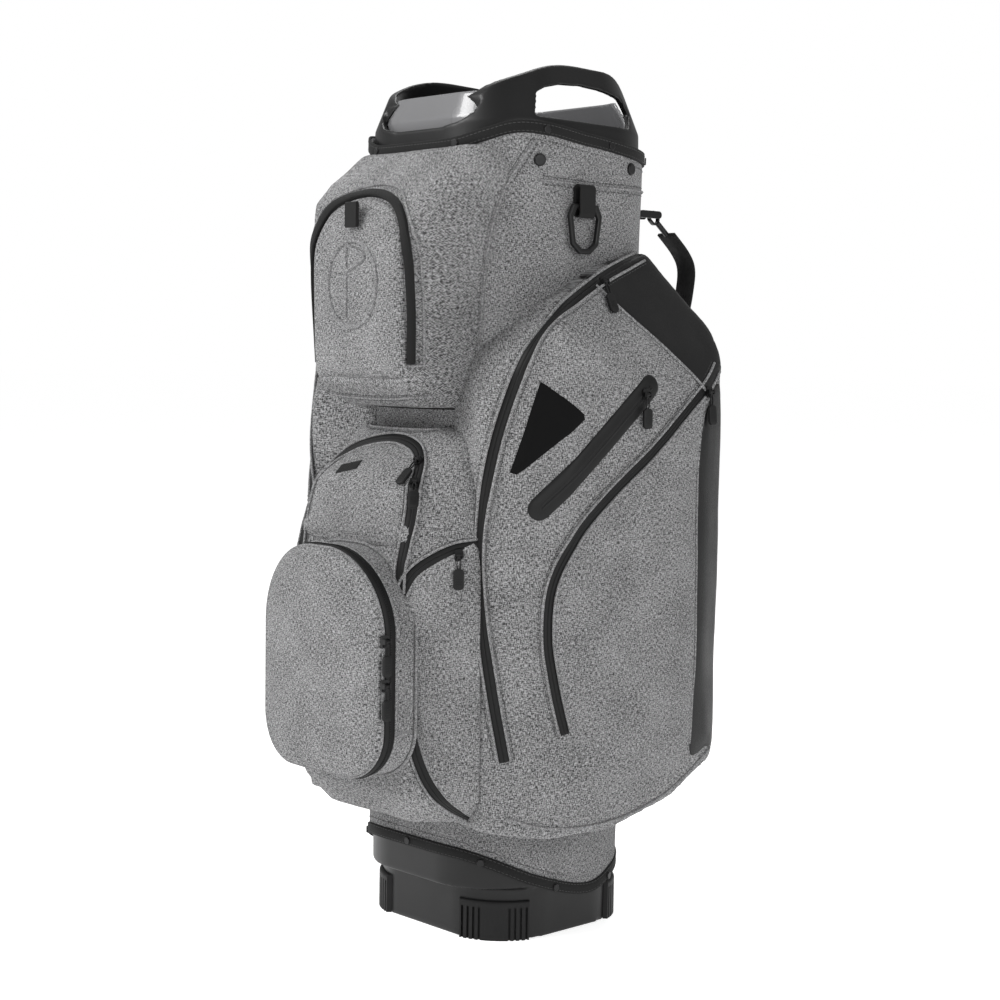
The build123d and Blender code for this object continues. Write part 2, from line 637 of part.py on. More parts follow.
# ---------------------------------------------------------------- towel ring and its webbing loop
ring_y, ring_bar_z, ring_x = -9, 768, 137.5
with BuildPart() as towel_ring:
    with BuildSketch(Plane.YZ.offset(ring_x - 2.5)):
        with BuildLine():
            Polyline((-27, 770), (9, 770), (15, 758), (10, 728), (-1, 719), (-17, 719), (-28, 728), (-33, 758), close=True)
        make_face()
        with BuildLine():
            Polyline((-22, 765), (4, 765), (9, 756), (5, 731), (-4, 724.5), (-14, 724.5), (-23, 731), (-27, 756),
                     close=True)
        make_face(mode=Mode.SUBTRACT)
    extrude(amount=5)
    fillet(towel_ring.faces().filter_by(Axis.X).edges(), 1.2)
write(towel_ring.part, "towel_ring")
with BuildPart() as ring_loop:
    with BuildSketch(Plane.XZ.offset(-ring_y - 11)):
        with Locations((ring_x - 0.5, 773)):
            SlotOverall(34.4, 10.4, rotation=90)
            SlotOverall(31.4, 7.6, rotation=90, mode=Mode.SUBTRACT)
    extrude(amount=22)
write(ring_loop.part - tube_solid(0.2), "towel_ring_loop")

# ---------------------------------------------------------------- snap studs, strap guide and shoulder strap
snap_places = [(125, -63, 812), (-125, -63, 812), (125, 66, 812), (-125, 66, 812)]
write(Compound(studs(tube_outer, snap_places, 6.5, 3.0)), "rain_hood_snaps")

guide_seat = seat(tube_outer, (300, -280, 571), (-1, 0.93, 0))
guide_plane = seat_plane(*guide_seat)
with BuildPart() as guide:
    with BuildSketch(guide_plane):
        RectangleRounded(30, 30, 5)
    extrude(amount=9)
    with BuildSketch(guide_plane.offset(6)):
        RectangleRounded(23, 23, 3)
    extrude(amount=5, mode=Mode.SUBTRACT)
write(guide.part - tube_solid(gap), "tee_badge_frame")

strap_width = 25
strap_top, strap_bottom = Vector(84, 150, 770), Vector(84, 146, 330)
strap_drop = (strap_bottom - strap_top).normalized()
strap_side = strap_drop.cross(Vector(0, 1, 0)).normalized()
strap_plane = Plane(origin=strap_top, x_dir=strap_drop, z_dir=strap_side)
strap_length = (strap_bottom - strap_top).length
strap_path = [(19, 25), (40, 50), (58, 60), (86, 57), (130, 47), (210, 38), (290, 31), (340, 27), (390, 21),
              (strap_length - 18, 9)]
with BuildPart() as strap:
    with BuildSketch(strap_plane.offset(-strap_width / 2)):
        with BuildLine() as strap_line:
            Spline(*strap_path)
        trace(strap_line.line, line_width=3)
    extrude(amount=strap_width)
write(strap.part, "shoulder_strap")
with BuildPart() as pad:
    with BuildSketch(strap_plane.offset(-30)):
        with BuildLine() as pad_line:
            Spline((120, 56.5), (180, 48), (250, 42), (320, 37))
        trace(pad_line.line, line_width=12)
    extrude(amount=60)
    fillet(pad.edges().filter_by(Axis(strap_top, strap_side)), 4)
write(pad.part - strap.part, "shoulder_pad")


def strap_hook(at, towards):
    """A snap hook: an eye on the anchor pin and a swivel that meets the webbing."""
    direction = (towards - at).normalized()
    plane = Plane(origin=at, x_dir=direction, z_dir=strap_side)
    reach = (towards - at).length
    with BuildPart() as hook:
        with BuildSketch(plane.offset(-2)):
            with Locations((4.2, 0)):
                SlotOverall(17.6, 13.4)
                SlotOverall(13, 8.6, mode=Mode.SUBTRACT)
        extrude(amount=4)
        with BuildSketch(Plane(origin=plane.from_local_coords((12, 0, 0)), z_dir=direction)):
            Circle(3)
        extrude(amount=reach - 11)
    return hook.part


strap_start = strap_plane.from_local_coords((*strap_path[0], 0))
strap_finish = strap_plane.from_local_coords((*strap_path[-1], 0))
strap_hooks = [strap_hook(strap_top, strap_start), strap_hook(strap_bottom, strap_finish)]
write(Compound([hook - strap.part for hook in strap_hooks]), "strap_hooks")
with BuildPart() as anchors:
    for pin in (strap_top, strap_bottom):
        across = Plane(origin=pin, x_dir=(0, 1, 0), z_dir=strap_side)
        with BuildSketch(across.offset(-13)):
            Circle(1.5)
        extrude(amount=26)
        for side in (-1, 1):
            with BuildSketch(across.offset(side * 11.5 - 1.5)):
                with Locations((-14, 0)):
                    SlotOverall(34, 8)
            extrude(amount=3)
write(anchors.part - tube_solid(0), "strap_anchors")
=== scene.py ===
import json
import math

import bpy
from mathutils import Matrix, Vector, noise
from mathutils.bvhtree import BVHTree
from mathutils.geometry import delaunay_2d_cdt
from mathutils.kdtree import KDTree

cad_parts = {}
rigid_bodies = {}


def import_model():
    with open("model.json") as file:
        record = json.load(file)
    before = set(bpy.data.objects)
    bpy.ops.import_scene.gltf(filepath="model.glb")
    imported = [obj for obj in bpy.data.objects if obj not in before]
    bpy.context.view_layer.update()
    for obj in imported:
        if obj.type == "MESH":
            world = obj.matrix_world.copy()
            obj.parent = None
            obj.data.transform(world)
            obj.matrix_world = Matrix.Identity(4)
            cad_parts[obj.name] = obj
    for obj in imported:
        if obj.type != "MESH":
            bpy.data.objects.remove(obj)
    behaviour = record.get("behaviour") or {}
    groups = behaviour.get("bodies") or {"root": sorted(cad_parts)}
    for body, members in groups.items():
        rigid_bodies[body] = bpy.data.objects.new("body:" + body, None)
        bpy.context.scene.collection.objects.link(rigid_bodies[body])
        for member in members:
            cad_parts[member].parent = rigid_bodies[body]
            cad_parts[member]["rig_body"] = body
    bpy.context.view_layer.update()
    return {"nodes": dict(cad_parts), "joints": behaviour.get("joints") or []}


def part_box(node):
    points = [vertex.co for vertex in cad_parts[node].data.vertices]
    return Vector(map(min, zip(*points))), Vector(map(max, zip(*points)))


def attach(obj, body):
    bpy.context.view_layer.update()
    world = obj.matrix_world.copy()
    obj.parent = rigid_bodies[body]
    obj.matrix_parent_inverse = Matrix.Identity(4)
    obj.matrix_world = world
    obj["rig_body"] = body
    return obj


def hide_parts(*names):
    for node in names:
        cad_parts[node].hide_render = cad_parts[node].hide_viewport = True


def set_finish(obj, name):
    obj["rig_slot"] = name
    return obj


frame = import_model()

mm = 0.001
bpy.ops.object.select_all(action="DESELECT")
for nodeObject in frame["nodes"].values():
    nodeObject.select_set(False)


# finishes -------------------------------------------------------------------------------------------
def newGroup(name, inputs, outputs):
    group = bpy.data.node_groups.new(name, "ShaderNodeTree")
    for label, kind, value in inputs:
        socket = group.interface.new_socket(label, in_out="INPUT", socket_type=kind)
        if value is not None:
            socket.default_value = value
    for label, kind in outputs:
        group.interface.new_socket(label, in_out="OUTPUT", socket_type=kind)
    return group, group.nodes.new("NodeGroupInput"), group.nodes.new("NodeGroupOutput")


def addNode(tree, kind, links=None, **settings):
    node = tree.nodes.new(kind)
    for key, value in settings.items():
        if key.startswith("in_"):
            name = key[3:]
            node.inputs[int(name) if name.isdigit() else name].default_value = value
        else:
            setattr(node, key, value)
    for name, source in (links or {}).items():
        tree.links.new(source, node.inputs[name])
    return node


def noiseOn(tree, vector, stretch, scale, detail=2.0, rough=0.5):
    mapping = addNode(tree, "ShaderNodeMapping", {"Vector": vector}, in_Scale=stretch)
    return addNode(tree, "ShaderNodeTexNoise", {"Vector": mapping.outputs[0]}, in_Scale=scale, in_Detail=detail,
                   in_Roughness=rough).outputs[0]


def makeMelange():
    group, start, end = newGroup("melangeWeave", [
        ("Vector", "NodeSocketVector", None), ("Light", "NodeSocketColor", (0.42, 0.42, 0.42, 1)),
        ("Dark", "NodeSocketColor", (0.05, 0.05, 0.05, 1))],
        [("Color", "NodeSocketColor"), ("Height", "NodeSocketFloat")])
    vector = start.outputs["Vector"]
    weft = noiseOn(group, vector, (290, 1250, 290), 1.0, 2.0, 0.6)
    warp = noiseOn(group, vector, (1250, 290, 1250), 1.0, 2.0, 0.6)
    fine = noiseOn(group, vector, (1100, 1100, 1100), 1.0, 1.0)
    patch = noiseOn(group, vector, (22, 22, 22), 1.0, 3.0)
    slubs = addNode(group, "ShaderNodeMath", {0: weft, 1: warp}, operation="MAXIMUM")
    thin = addNode(group, "ShaderNodeMath", {0: weft, 1: warp}, operation="MINIMUM")
    sumA = addNode(group, "ShaderNodeMath", {0: slubs.outputs[0], 1: thin.outputs[0]}, operation="ADD")
    sumB = addNode(group, "ShaderNodeMath", {0: fine, 2: sumA.outputs[0]}, operation="MULTIPLY_ADD", in_1=0.55)
    sumC = addNode(group, "ShaderNodeMath", {0: patch, 2: sumB.outputs[0]}, operation="MULTIPLY_ADD", in_1=0.16)
    ranged = addNode(group, "ShaderNodeMapRange", {"Value": sumC.outputs[0]}, in_1=1.2, in_2=1.56)
    mix = addNode(group, "ShaderNodeMix", {"Factor": ranged.outputs[0]}, data_type="RGBA")
    group.links.new(start.outputs["Dark"], mix.inputs[6])
    group.links.new(start.outputs["Light"], mix.inputs[7])
    group.links.new(mix.outputs[2], end.inputs["Color"])
    pitch = 2 * math.pi / 0.0011          # threads 1.1 mm apart
    split = addNode(group, "ShaderNodeSeparateXYZ", {0: vector})
    waves = []
    for axis in (0, 1):
        scaled = addNode(group, "ShaderNodeMath", {0: split.outputs[axis]}, operation="MULTIPLY", in_1=pitch)
        waves.append(addNode(group, "ShaderNodeMath", {0: scaled.outputs[0]}, operation="SINE").outputs[0])
    weave = addNode(group, "ShaderNodeMath", {0: waves[0], 1: waves[1]}, operation="MULTIPLY")
    high = addNode(group, "ShaderNodeMath", {0: weave.outputs[0], 2: ranged.outputs[0]}, operation="MULTIPLY_ADD",
                   in_1=0.35)
    group.links.new(high.outputs[0], end.inputs["Height"])
    return group


def makeGrain():
    group, start, end = newGroup("mouldedGrain", [
        ("Vector", "NodeSocketVector", None), ("Grain", "NodeSocketFloat", 900.0), ("Base", "NodeSocketFloat", 0.4),
        ("Spread", "NodeSocketFloat", 0.2)], [("Rough", "NodeSocketFloat"), ("Height", "NodeSocketFloat")])
    vector = start.outputs["Vector"]
    fine = addNode(group, "ShaderNodeTexNoise", {"Vector": vector, "Scale": start.outputs["Grain"]}, in_Detail=2.0)
    wide = addNode(group, "ShaderNodeTexNoise", {"Vector": vector}, in_Scale=14.0, in_Detail=4.0)
    rough = addNode(group, "ShaderNodeMath",
                    {0: wide.outputs[0], 1: start.outputs["Spread"], 2: start.outputs["Base"]},
                    operation="MULTIPLY_ADD")
    group.links.new(rough.outputs[0], end.inputs["Rough"])
    group.links.new(fine.outputs[0], end.inputs["Height"])
    return group


def makePebble():
    group, start, end = newGroup("leatherPebble", [
        ("Vector", "NodeSocketVector", None), ("Scale", "NodeSocketFloat", 700.0)],
        [("Rough", "NodeSocketFloat"), ("Height", "NodeSocketFloat")])
    cells = addNode(group, "ShaderNodeTexVoronoi", {"Vector": start.outputs["Vector"], "Scale": start.outputs["Scale"]},
                    feature="DISTANCE_TO_EDGE")
    soft = addNode(group, "ShaderNodeMapRange", {"Value": cells.outputs["Distance"]}, in_1=0.0, in_2=0.25)
    wide = addNode(group, "ShaderNodeTexNoise", {"Vector": start.outputs["Vector"]}, in_Scale=25.0, in_Detail=3.0)
    rough = addNode(group, "ShaderNodeMath", {0: wide.outputs[0]}, operation="MULTIPLY_ADD", in_1=0.22, in_2=0.28)
    group.links.new(rough.outputs[0], end.inputs["Rough"])
    group.links.new(soft.outputs[0], end.inputs["Height"])
    return group


def makeRibs():
    group, start, end = newGroup("webbingRibs", [
        ("Vector", "NodeSocketVector", None), ("Across", "NodeSocketFloat", 1.3)],
        [("Tone", "NodeSocketFloat"), ("Height", "NodeSocketFloat")])
    split = addNode(group, "ShaderNodeSeparateXYZ", {0: start.outputs["Vector"]})
    waves = []
    for axis, pitch in ((0, 0.0016), (1, 0.0022)):
        scaled = addNode(group, "ShaderNodeMath", {0: split.outputs[axis]}, operation="MULTIPLY",
                         in_1=2 * math.pi / pitch)
        waves.append(addNode(group, "ShaderNodeMath", {0: scaled.outputs[0]}, operation="SINE").outputs[0])
    weave = addNode(group, "ShaderNodeMath", {0: waves[0], 1: waves[1]}, operation="MULTIPLY")
    ranged = addNode(group, "ShaderNodeMapRange", {"Value": weave.outputs[0]}, in_1=-1.0, in_2=1.0)
    group.links.new(ranged.outputs[0], end.inputs["Height"])
    group.links.new(ranged.outputs[0], end.inputs["Tone"])
    return group


melangeWeave, mouldedGrain, leatherPebble, webbingRibs = makeMelange(), makeGrain(), makePebble(), makeRibs()
finishes = {}


def newMaterial(name, coords="Object", **shader):
    material = bpy.data.materials.new(name)
    material.use_nodes = True
    tree = material.node_tree
    surface = tree.nodes["Principled BSDF"]
    for key, value in shader.items():
        surface.inputs[key.replace("_", " ")].default_value = value
    place = tree.nodes.new("ShaderNodeTexCoord").outputs[coords]
    finishes[name] = material
    return tree, surface, place


def bumpFrom(tree, surface, height, strength, distance):
    bump = addNode(tree, "ShaderNodeBump", {"Height": height}, in_Strength=strength, in_Distance=distance)
    tree.links.new(bump.outputs[0], surface.inputs["Normal"])


def fabricMaterial(name, light, dark, turn=0.0):
    tree, surface, place = newMaterial(name, "UV", Roughness=0.92, Specular_IOR_Level=0.12, Sheen_Weight=0.06,
                                       Sheen_Roughness=0.5)
    turned = addNode(tree, "ShaderNodeMapping", {"Vector": place}, in_Rotation=(0, 0, math.radians(turn)))
    weave = addNode(tree, "ShaderNodeGroup", {}, node_tree=melangeWeave)
    tree.links.new(turned.outputs[0], weave.inputs["Vector"])
    weave.inputs["Light"].default_value = (light, light, light * 1.01, 1)
    weave.inputs["Dark"].default_value = (dark, dark, dark * 1.02, 1)
    tree.links.new(weave.outputs["Color"], surface.inputs["Base Color"])
    bumpFrom(tree, surface, weave.outputs["Height"], 0.55, 0.0006)


def grainMaterial(name, tone, base, spread, grain, strength, coords="Object", **shader):
    tree, surface, place = newMaterial(name, coords, **shader)
    surface.inputs["Base Color"].default_value = (tone, tone, tone * 1.03, 1)
    effect = addNode(tree, "ShaderNodeGroup", {}, node_tree=mouldedGrain)
    tree.links.new(place, effect.inputs["Vector"])
    for label, value in (("Grain", grain), ("Base", base), ("Spread", spread)):
        effect.inputs[label].default_value = value
    tree.links.new(effect.outputs["Rough"], surface.inputs["Roughness"])
    bumpFrom(tree, surface, effect.outputs["Height"], strength, 0.0003)


def leatherMaterial(name, tone, scale, strength):
    tree, surface, place = newMaterial(name, "Object", Specular_IOR_Level=0.28)
    surface.inputs["Base Color"].default_value = (tone, tone, tone * 1.02, 1)
    effect = addNode(tree, "ShaderNodeGroup", {}, node_tree=leatherPebble)
    tree.links.new(place, effect.inputs["Vector"])
    effect.inputs["Scale"].default_value = scale
    tree.links.new(effect.outputs["Rough"], surface.inputs["Roughness"])
    bumpFrom(tree, surface, effect.outputs["Height"], strength, 0.0003)


def webbingMaterial(name, light, dark, coords="UV"):
    tree, surface, place = newMaterial(name, coords, Roughness=0.8, Specular_IOR_Level=0.15, Sheen_Weight=0.03)
    effect = addNode(tree, "ShaderNodeGroup", {}, node_tree=webbingRibs)
    tree.links.new(place, effect.inputs["Vector"])
    mix = addNode(tree, "ShaderNodeMix", {"Factor": effect.outputs["Tone"]}, data_type="RGBA")
    mix.inputs[6].default_value = (dark, dark, dark, 1)
    mix.inputs[7].default_value = (light, light, light, 1)
    tree.links.new(mix.outputs[2], surface.inputs["Base Color"])
    bumpFrom(tree, surface, effect.outputs["Height"], 0.6, 0.0005)


fabricMaterial("greyMelange", 0.36, 0.028)
fabricMaterial("greyMelangeBias", 0.36, 0.028, 45)
fabricMaterial("pipingMelange", 0.34, 0.07, 45)
webbingMaterial("blackWebbing", 0.016, 0.004)
webbingMaterial("blackLining", 0.02, 0.008)
webbingMaterial("greyThread", 0.10, 0.03)
leatherMaterial("blackLeather", 0.005, 650, 0.35)
leatherMaterial("padLeather", 0.008, 480, 0.5)
grainMaterial("coatedTape", 0.0045, 0.45, 0.2, 1200, 0.2, Specular_IOR_Level=0.22)
grainMaterial("blackMoulding", 0.0045, 0.26, 0.26, 1400, 0.14, Specular_IOR_Level=0.3)
grainMaterial("greyMoulding", 0.13, 0.16, 0.2, 1500, 0.08, Coat_Weight=0.4)
grainMaterial("softRubber", 0.006, 0.48, 0.25, 1100, 0.3, Specular_IOR_Level=0.25)
grainMaterial("blackMetal", 0.012, 0.25, 0.25, 1500, 0.1, Metallic=0.6)
grainMaterial("brightSteel", 0.55, 0.2, 0.2, 900, 0.1, Metallic=1.0)
grainMaterial("foilLining", 0.5, 0.25, 0.3, 300, 0.5, Metallic=0.7)
grainMaterial("whitePrint", 0.75, 0.5, 0.1, 900, 0.05)
grainMaterial("hookLoop", 0.004, 0.85, 0.12, 2500, 1.0, Specular_IOR_Level=0.1)
print("finishes made:", len(finishes))


# lines, surfaces and sweeps -------------------------------------------------------------------------
def smoothPath(points, step=4.0, closed=False):
    # an even run of points along a smooth curve through the given ones
    pts = [Vector(p) for p in points]
    count = len(pts)
    dense = []
    spans = count if closed else count - 1
    for i in range(spans):
        if closed:
            a, b, c, d = (pts[(i + k - 1) % count] for k in range(4))
        else:
            a, b, c, d = pts[max(i - 1, 0)], pts[i], pts[i + 1], pts[min(i + 2, count - 1)]
        for k in range(16):
            t = k / 16
            dense.append(0.5 * ((2 * b) + (c - a) * t + (2 * a - 5 * b + 4 * c - d) * t * t
                                + (3 * b - a - 3 * c + d) * t * t * t))
    dense.append(dense[0].copy() if closed else pts[-1])
    total = sum((q - p).length for p, q in zip(dense, dense[1:]))
    pieces = max(2, round(total / step))
    spacing, result, walked, target = total / pieces, [], 0.0, 0.0
    for p, q in zip(dense, dense[1:]):
        length = (q - p).length
        while target <= walked + length + 1e-9 and len(result) <= pieces:
            result.append(p.lerp(q, (target - walked) / length if length else 0))
            target += spacing
        walked += length
    if closed:
        result = result[:pieces]
    return result


def roundedRect(width, depth, radius, cx=0.0, cy=0.0, step=4.0):
    points = []
    hw, hd = width / 2 - radius, depth / 2 - radius
    arcs = max(4, round(radius * math.pi / 2 / step))
    for sx, sy, start in ((1, -1, -90), (1, 1, 0), (-1, 1, 90), (-1, -1, 180)):
        for k in range(arcs + 1):
            angle = math.radians(start + 90 * k / arcs)
            points.append(Vector((cx + sx * hw + radius * math.cos(angle), cy + sy * hd + radius * math.sin(angle))))
    even = []
    loop = points + [points[0]]
    total = sum((q - p).length for p, q in zip(loop, loop[1:]))
    pieces = round(total / step)
    walked, target = 0.0, 0.0
    for p, q in zip(loop, loop[1:]):
        length = (q - p).length
        while target < walked + length and len(even) < pieces:
            even.append(p.lerp(q, (target - walked) / length if length else 0))
            target += total / pieces
        walked += length
    return even


def addPiece(name, vertices, faces, material, slotName, body="bag", uvs=None, smooth=True, flip=False):
    mesh = bpy.data.meshes.new(name)
    mesh.from_pydata([tuple(v) for v in vertices], [], faces)
    if uvs is not None:
        layer = mesh.uv_layers.new(name="weave")
        for loop in mesh.loops:
            layer.data[loop.index].uv = uvs[loop.vertex_index]
    piece = bpy.data.objects.new(name, mesh)
    bpy.context.scene.collection.objects.link(piece)
    mesh.materials.append(finishes[material])
    makeOutward(piece, smooth)
    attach(piece, body)
    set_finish(piece, slotName)
    return piece


def makeOutward(piece, smooth=True):
    import bmesh
    work = bmesh.new()
    work.from_mesh(piece.data)
    bmesh.ops.recalc_face_normals(work, faces=work.faces)
    for face in work.faces:
        face.smooth = smooth
    work.to_mesh(piece.data)
    work.free()
    piece.data.update()


def applyModifiers(piece):
    bpy.ops.object.select_all(action="DESELECT")
    bpy.context.view_layer.objects.active = piece
    piece.select_set(True)
    for modifier in list(piece.modifiers):
        bpy.ops.object.modifier_apply(modifier=modifier.name)
    piece.select_set(False)


def sharpen(piece, angle=40):
    bpy.ops.object.select_all(action="DESELECT")
    bpy.context.view_layer.objects.active = piece
    piece.select_set(True)
    bpy.ops.object.shade_smooth_by_angle(angle=math.radians(angle))
    piece.select_set(False)


def surfaceOf(piece):
    # what a line is cast on: a tree of triangles with smooth normals
    mesh = piece.data
    mesh.calc_loop_triangles()
    vertices = [v.co.copy() for v in mesh.vertices]
    triangles = [tuple(t.vertices) for t in mesh.loop_triangles]
    normals = [v.normal.copy() for v in mesh.vertices]
    return {"tree": BVHTree.FromPolygons(vertices, triangles), "vertices": vertices, "triangles": triangles,
            "normals": normals}


def joinedSurface(*surfaces):
    whole = {"vertices": [], "triangles": [], "normals": []}
    for surface in surfaces:
        base = len(whole["vertices"])
        whole["vertices"] += surface["vertices"]
        whole["normals"] += surface["normals"]
        whole["triangles"] += [tuple(base + i for i in triangle) for triangle in surface["triangles"]]
    whole["tree"] = BVHTree.FromPolygons(whole["vertices"], whole["triangles"])
    return whole


views = {
    "right": (Vector((1, 0, 0)), Vector((0, 1, 0))),
    "left": (Vector((-1, 0, 0)), Vector((0, 1, 0))),
    "front": (Vector((0, -1, 0)), Vector((1, 0, 0))),
    "back": (Vector((0, 1, 0)), Vector((1, 0, 0))),
    "corner": (Vector((0.7071, -0.7071, 0)), Vector((0.7071, 0.7071, 0))),
}


def castOn(surface, point, view):
    # point is (along, height) in mm as seen in that view
    outward, along = views[view]
    origin = outward * 0.7 + along * (point[0] * mm) + Vector((0, 0, point[1] * mm))
    hit, faceNormal, index, _ = surface["tree"].ray_cast(origin, -outward)
    if hit is None:
        hit, faceNormal, index, _ = surface["tree"].find_nearest(origin - outward * 0.55)
    a, b, c = surface["triangles"][index]
    va, vb, vc = (surface["vertices"][i] for i in (a, b, c))
    area = (vb - va).cross(vc - va).length
    if area < 1e-12:
        return hit, faceNormal
    wa = (vb - hit).cross(vc - hit).length / area
    wb = (vc - hit).cross(va - hit).length / area
    wc = 1 - wa - wb
    normal = surface["normals"][a] * wa + surface["normals"][b] * wb + surface["normals"][c] * wc
    return hit, normal.normalized() if normal.length > 0.1 else faceNormal


def lineOn(surface, points, view, step=3.0, closed=False):
    line = [castOn(surface, p, view) for p in smoothPath([Vector(p) for p in points], step, closed)]
    return evenLine(line, closed)


def evenLine(line, closed=False, passes=3):
    for _ in range(passes):
        count = len(line)
        result = []
        for i, (p, n) in enumerate(line):
            if not closed and i in (0, count - 1):
                result.append((p, n))
                continue
            before, after = line[(i - 1) % count], line[(i + 1) % count]
            result.append(((before[0] + p * 2 + after[0]) / 4, (before[1] + n * 2 + after[1]).normalized()))
        line = result
    return line


def shiftLine(line, aside, lift=0.0, closed=False):
    count = len(line)
    result = []
    for i, (p, n) in enumerate(line):
        if closed:
            tangent = line[(i + 1) % count][0] - line[i - 1][0]
        else:
            tangent = line[min(i + 1, count - 1)][0] - line[max(i - 1, 0)][0]
        side = tangent.normalized().cross(n).normalized()
        result.append((p + side * (aside * mm) + n * (lift * mm), n))
    return result


def sweep(name, line, profile, material, slotName, body="bag", closed=False, smooth=True):
    # carries a closed profile of (aside, lift) points, in mm, along a line of places and normals
    count, ring = len(line), len(profile)
    vertices, uvs, faces, walked = [], [], [], 0.0
    girth = [0.0]
    for (s0, h0), (s1, h1) in zip(profile, profile[1:]):
        girth.append(girth[-1] + math.hypot(s1 - s0, h1 - h0) * mm)
    for i, (p, n) in enumerate(line):
        if closed:
            tangent = line[(i + 1) % count][0] - line[i - 1][0]
        else:
            tangent = line[min(i + 1, count - 1)][0] - line[max(i - 1, 0)][0]
        side = tangent.normalized().cross(n).normalized()
        if i:
            walked += (p - line[i - 1][0]).length
        for (s, h), g in zip(profile, girth):
            vertices.append(p + side * (s * mm) + n * (h * mm))
            uvs.append((walked, g))
    last = count if closed else count - 1
    for i in range(last):
        j = (i + 1) % count
        for k in range(ring):
            m = (k + 1) % ring
            faces.append((i * ring + k, i * ring + m, j * ring + m, j * ring + k))
    if not closed:
        faces.append(tuple(range(ring)))
        faces.append(tuple((count - 1) * ring + k for k in range(ring)))
    return addPiece(name, vertices, faces, material, slotName, body, uvs, smooth)


def roundProfile(radius, lift, sides=10):
    return [(radius * math.cos(2 * math.pi * k / sides), lift + radius * math.sin(2 * math.pi * k / sides))
            for k in range(sides)]


def tapeProfile(half):
    # a coated zip tape whose two lips meet over the teeth
    return [(-half, -0.4), (-half, 0.5), (-half + 0.5, 0.9), (-1.3, 1.35), (-0.5, 1.3), (-0.12, 0.55), (0.12, 0.55),
            (0.5, 1.3), (1.3, 1.35), (half - 0.5, 0.9), (half, 0.5), (half, -0.4)]


def bandProfile(half, thick, low=-0.5):
    return [(-half, low), (-half, thick - 0.5), (-half + 0.5, thick), (half - 0.5, thick), (half, thick - 0.5),
            (half, low)]


def stitchRun(name, line, body="bag", length=3.0, pitch=4.6, lift=0.35, width=0.45, tone="greyThread"):
    vertices, faces, uvs = [], [], []
    walked = [0.0]
    for (p, _), (q, _) in zip(line, line[1:]):
        walked.append(walked[-1] + (q - p).length / mm)
    at, i = pitch * 0.5, 0
    while at + length < walked[-1]:
        ends = []
        for target in (at, at + length):
            while walked[i + 1] < target:
                i += 1
            t = (target - walked[i]) / (walked[i + 1] - walked[i])
            ends.append((line[i][0].lerp(line[i + 1][0], t), line[i][1]))
        (p, n), (q, _) = ends
        along = (q - p).normalized()
        side = along.cross(n).normalized()
        base = len(vertices)
        for centre, grow in ((p, 0.6), ((p + q) / 2, 1.0), (q, 0.6)):
            for s, h in ((-width, -0.2), (0, lift * grow), (width, -0.2)):
                vertices.append(centre + side * (s * mm) + n * (h * mm))
                uvs.append((0, 0))
        for k in (0, 3):
            for a, b in ((0, 1), (1, 2), (2, 0)):
                faces.append((base + k + a, base + k + b, base + k + 3 + b, base + k + 3 + a))
        faces.append((base, base + 1, base + 2))
        faces.append((base + 6, base + 7, base + 8))
        at += pitch
    return addPiece(name, vertices, faces, tone, "webbing", body, uvs)


def insideLoop(point, loop):
    x, y = point
    inside = False
    for (x0, y0), (x1, y1) in zip(loop, loop[1:] + loop[:1]):
        if (y0 > y) != (y1 > y) and x < (x1 - x0) * (y - y0) / (y1 - y0) + x0:
            inside = not inside
    return inside


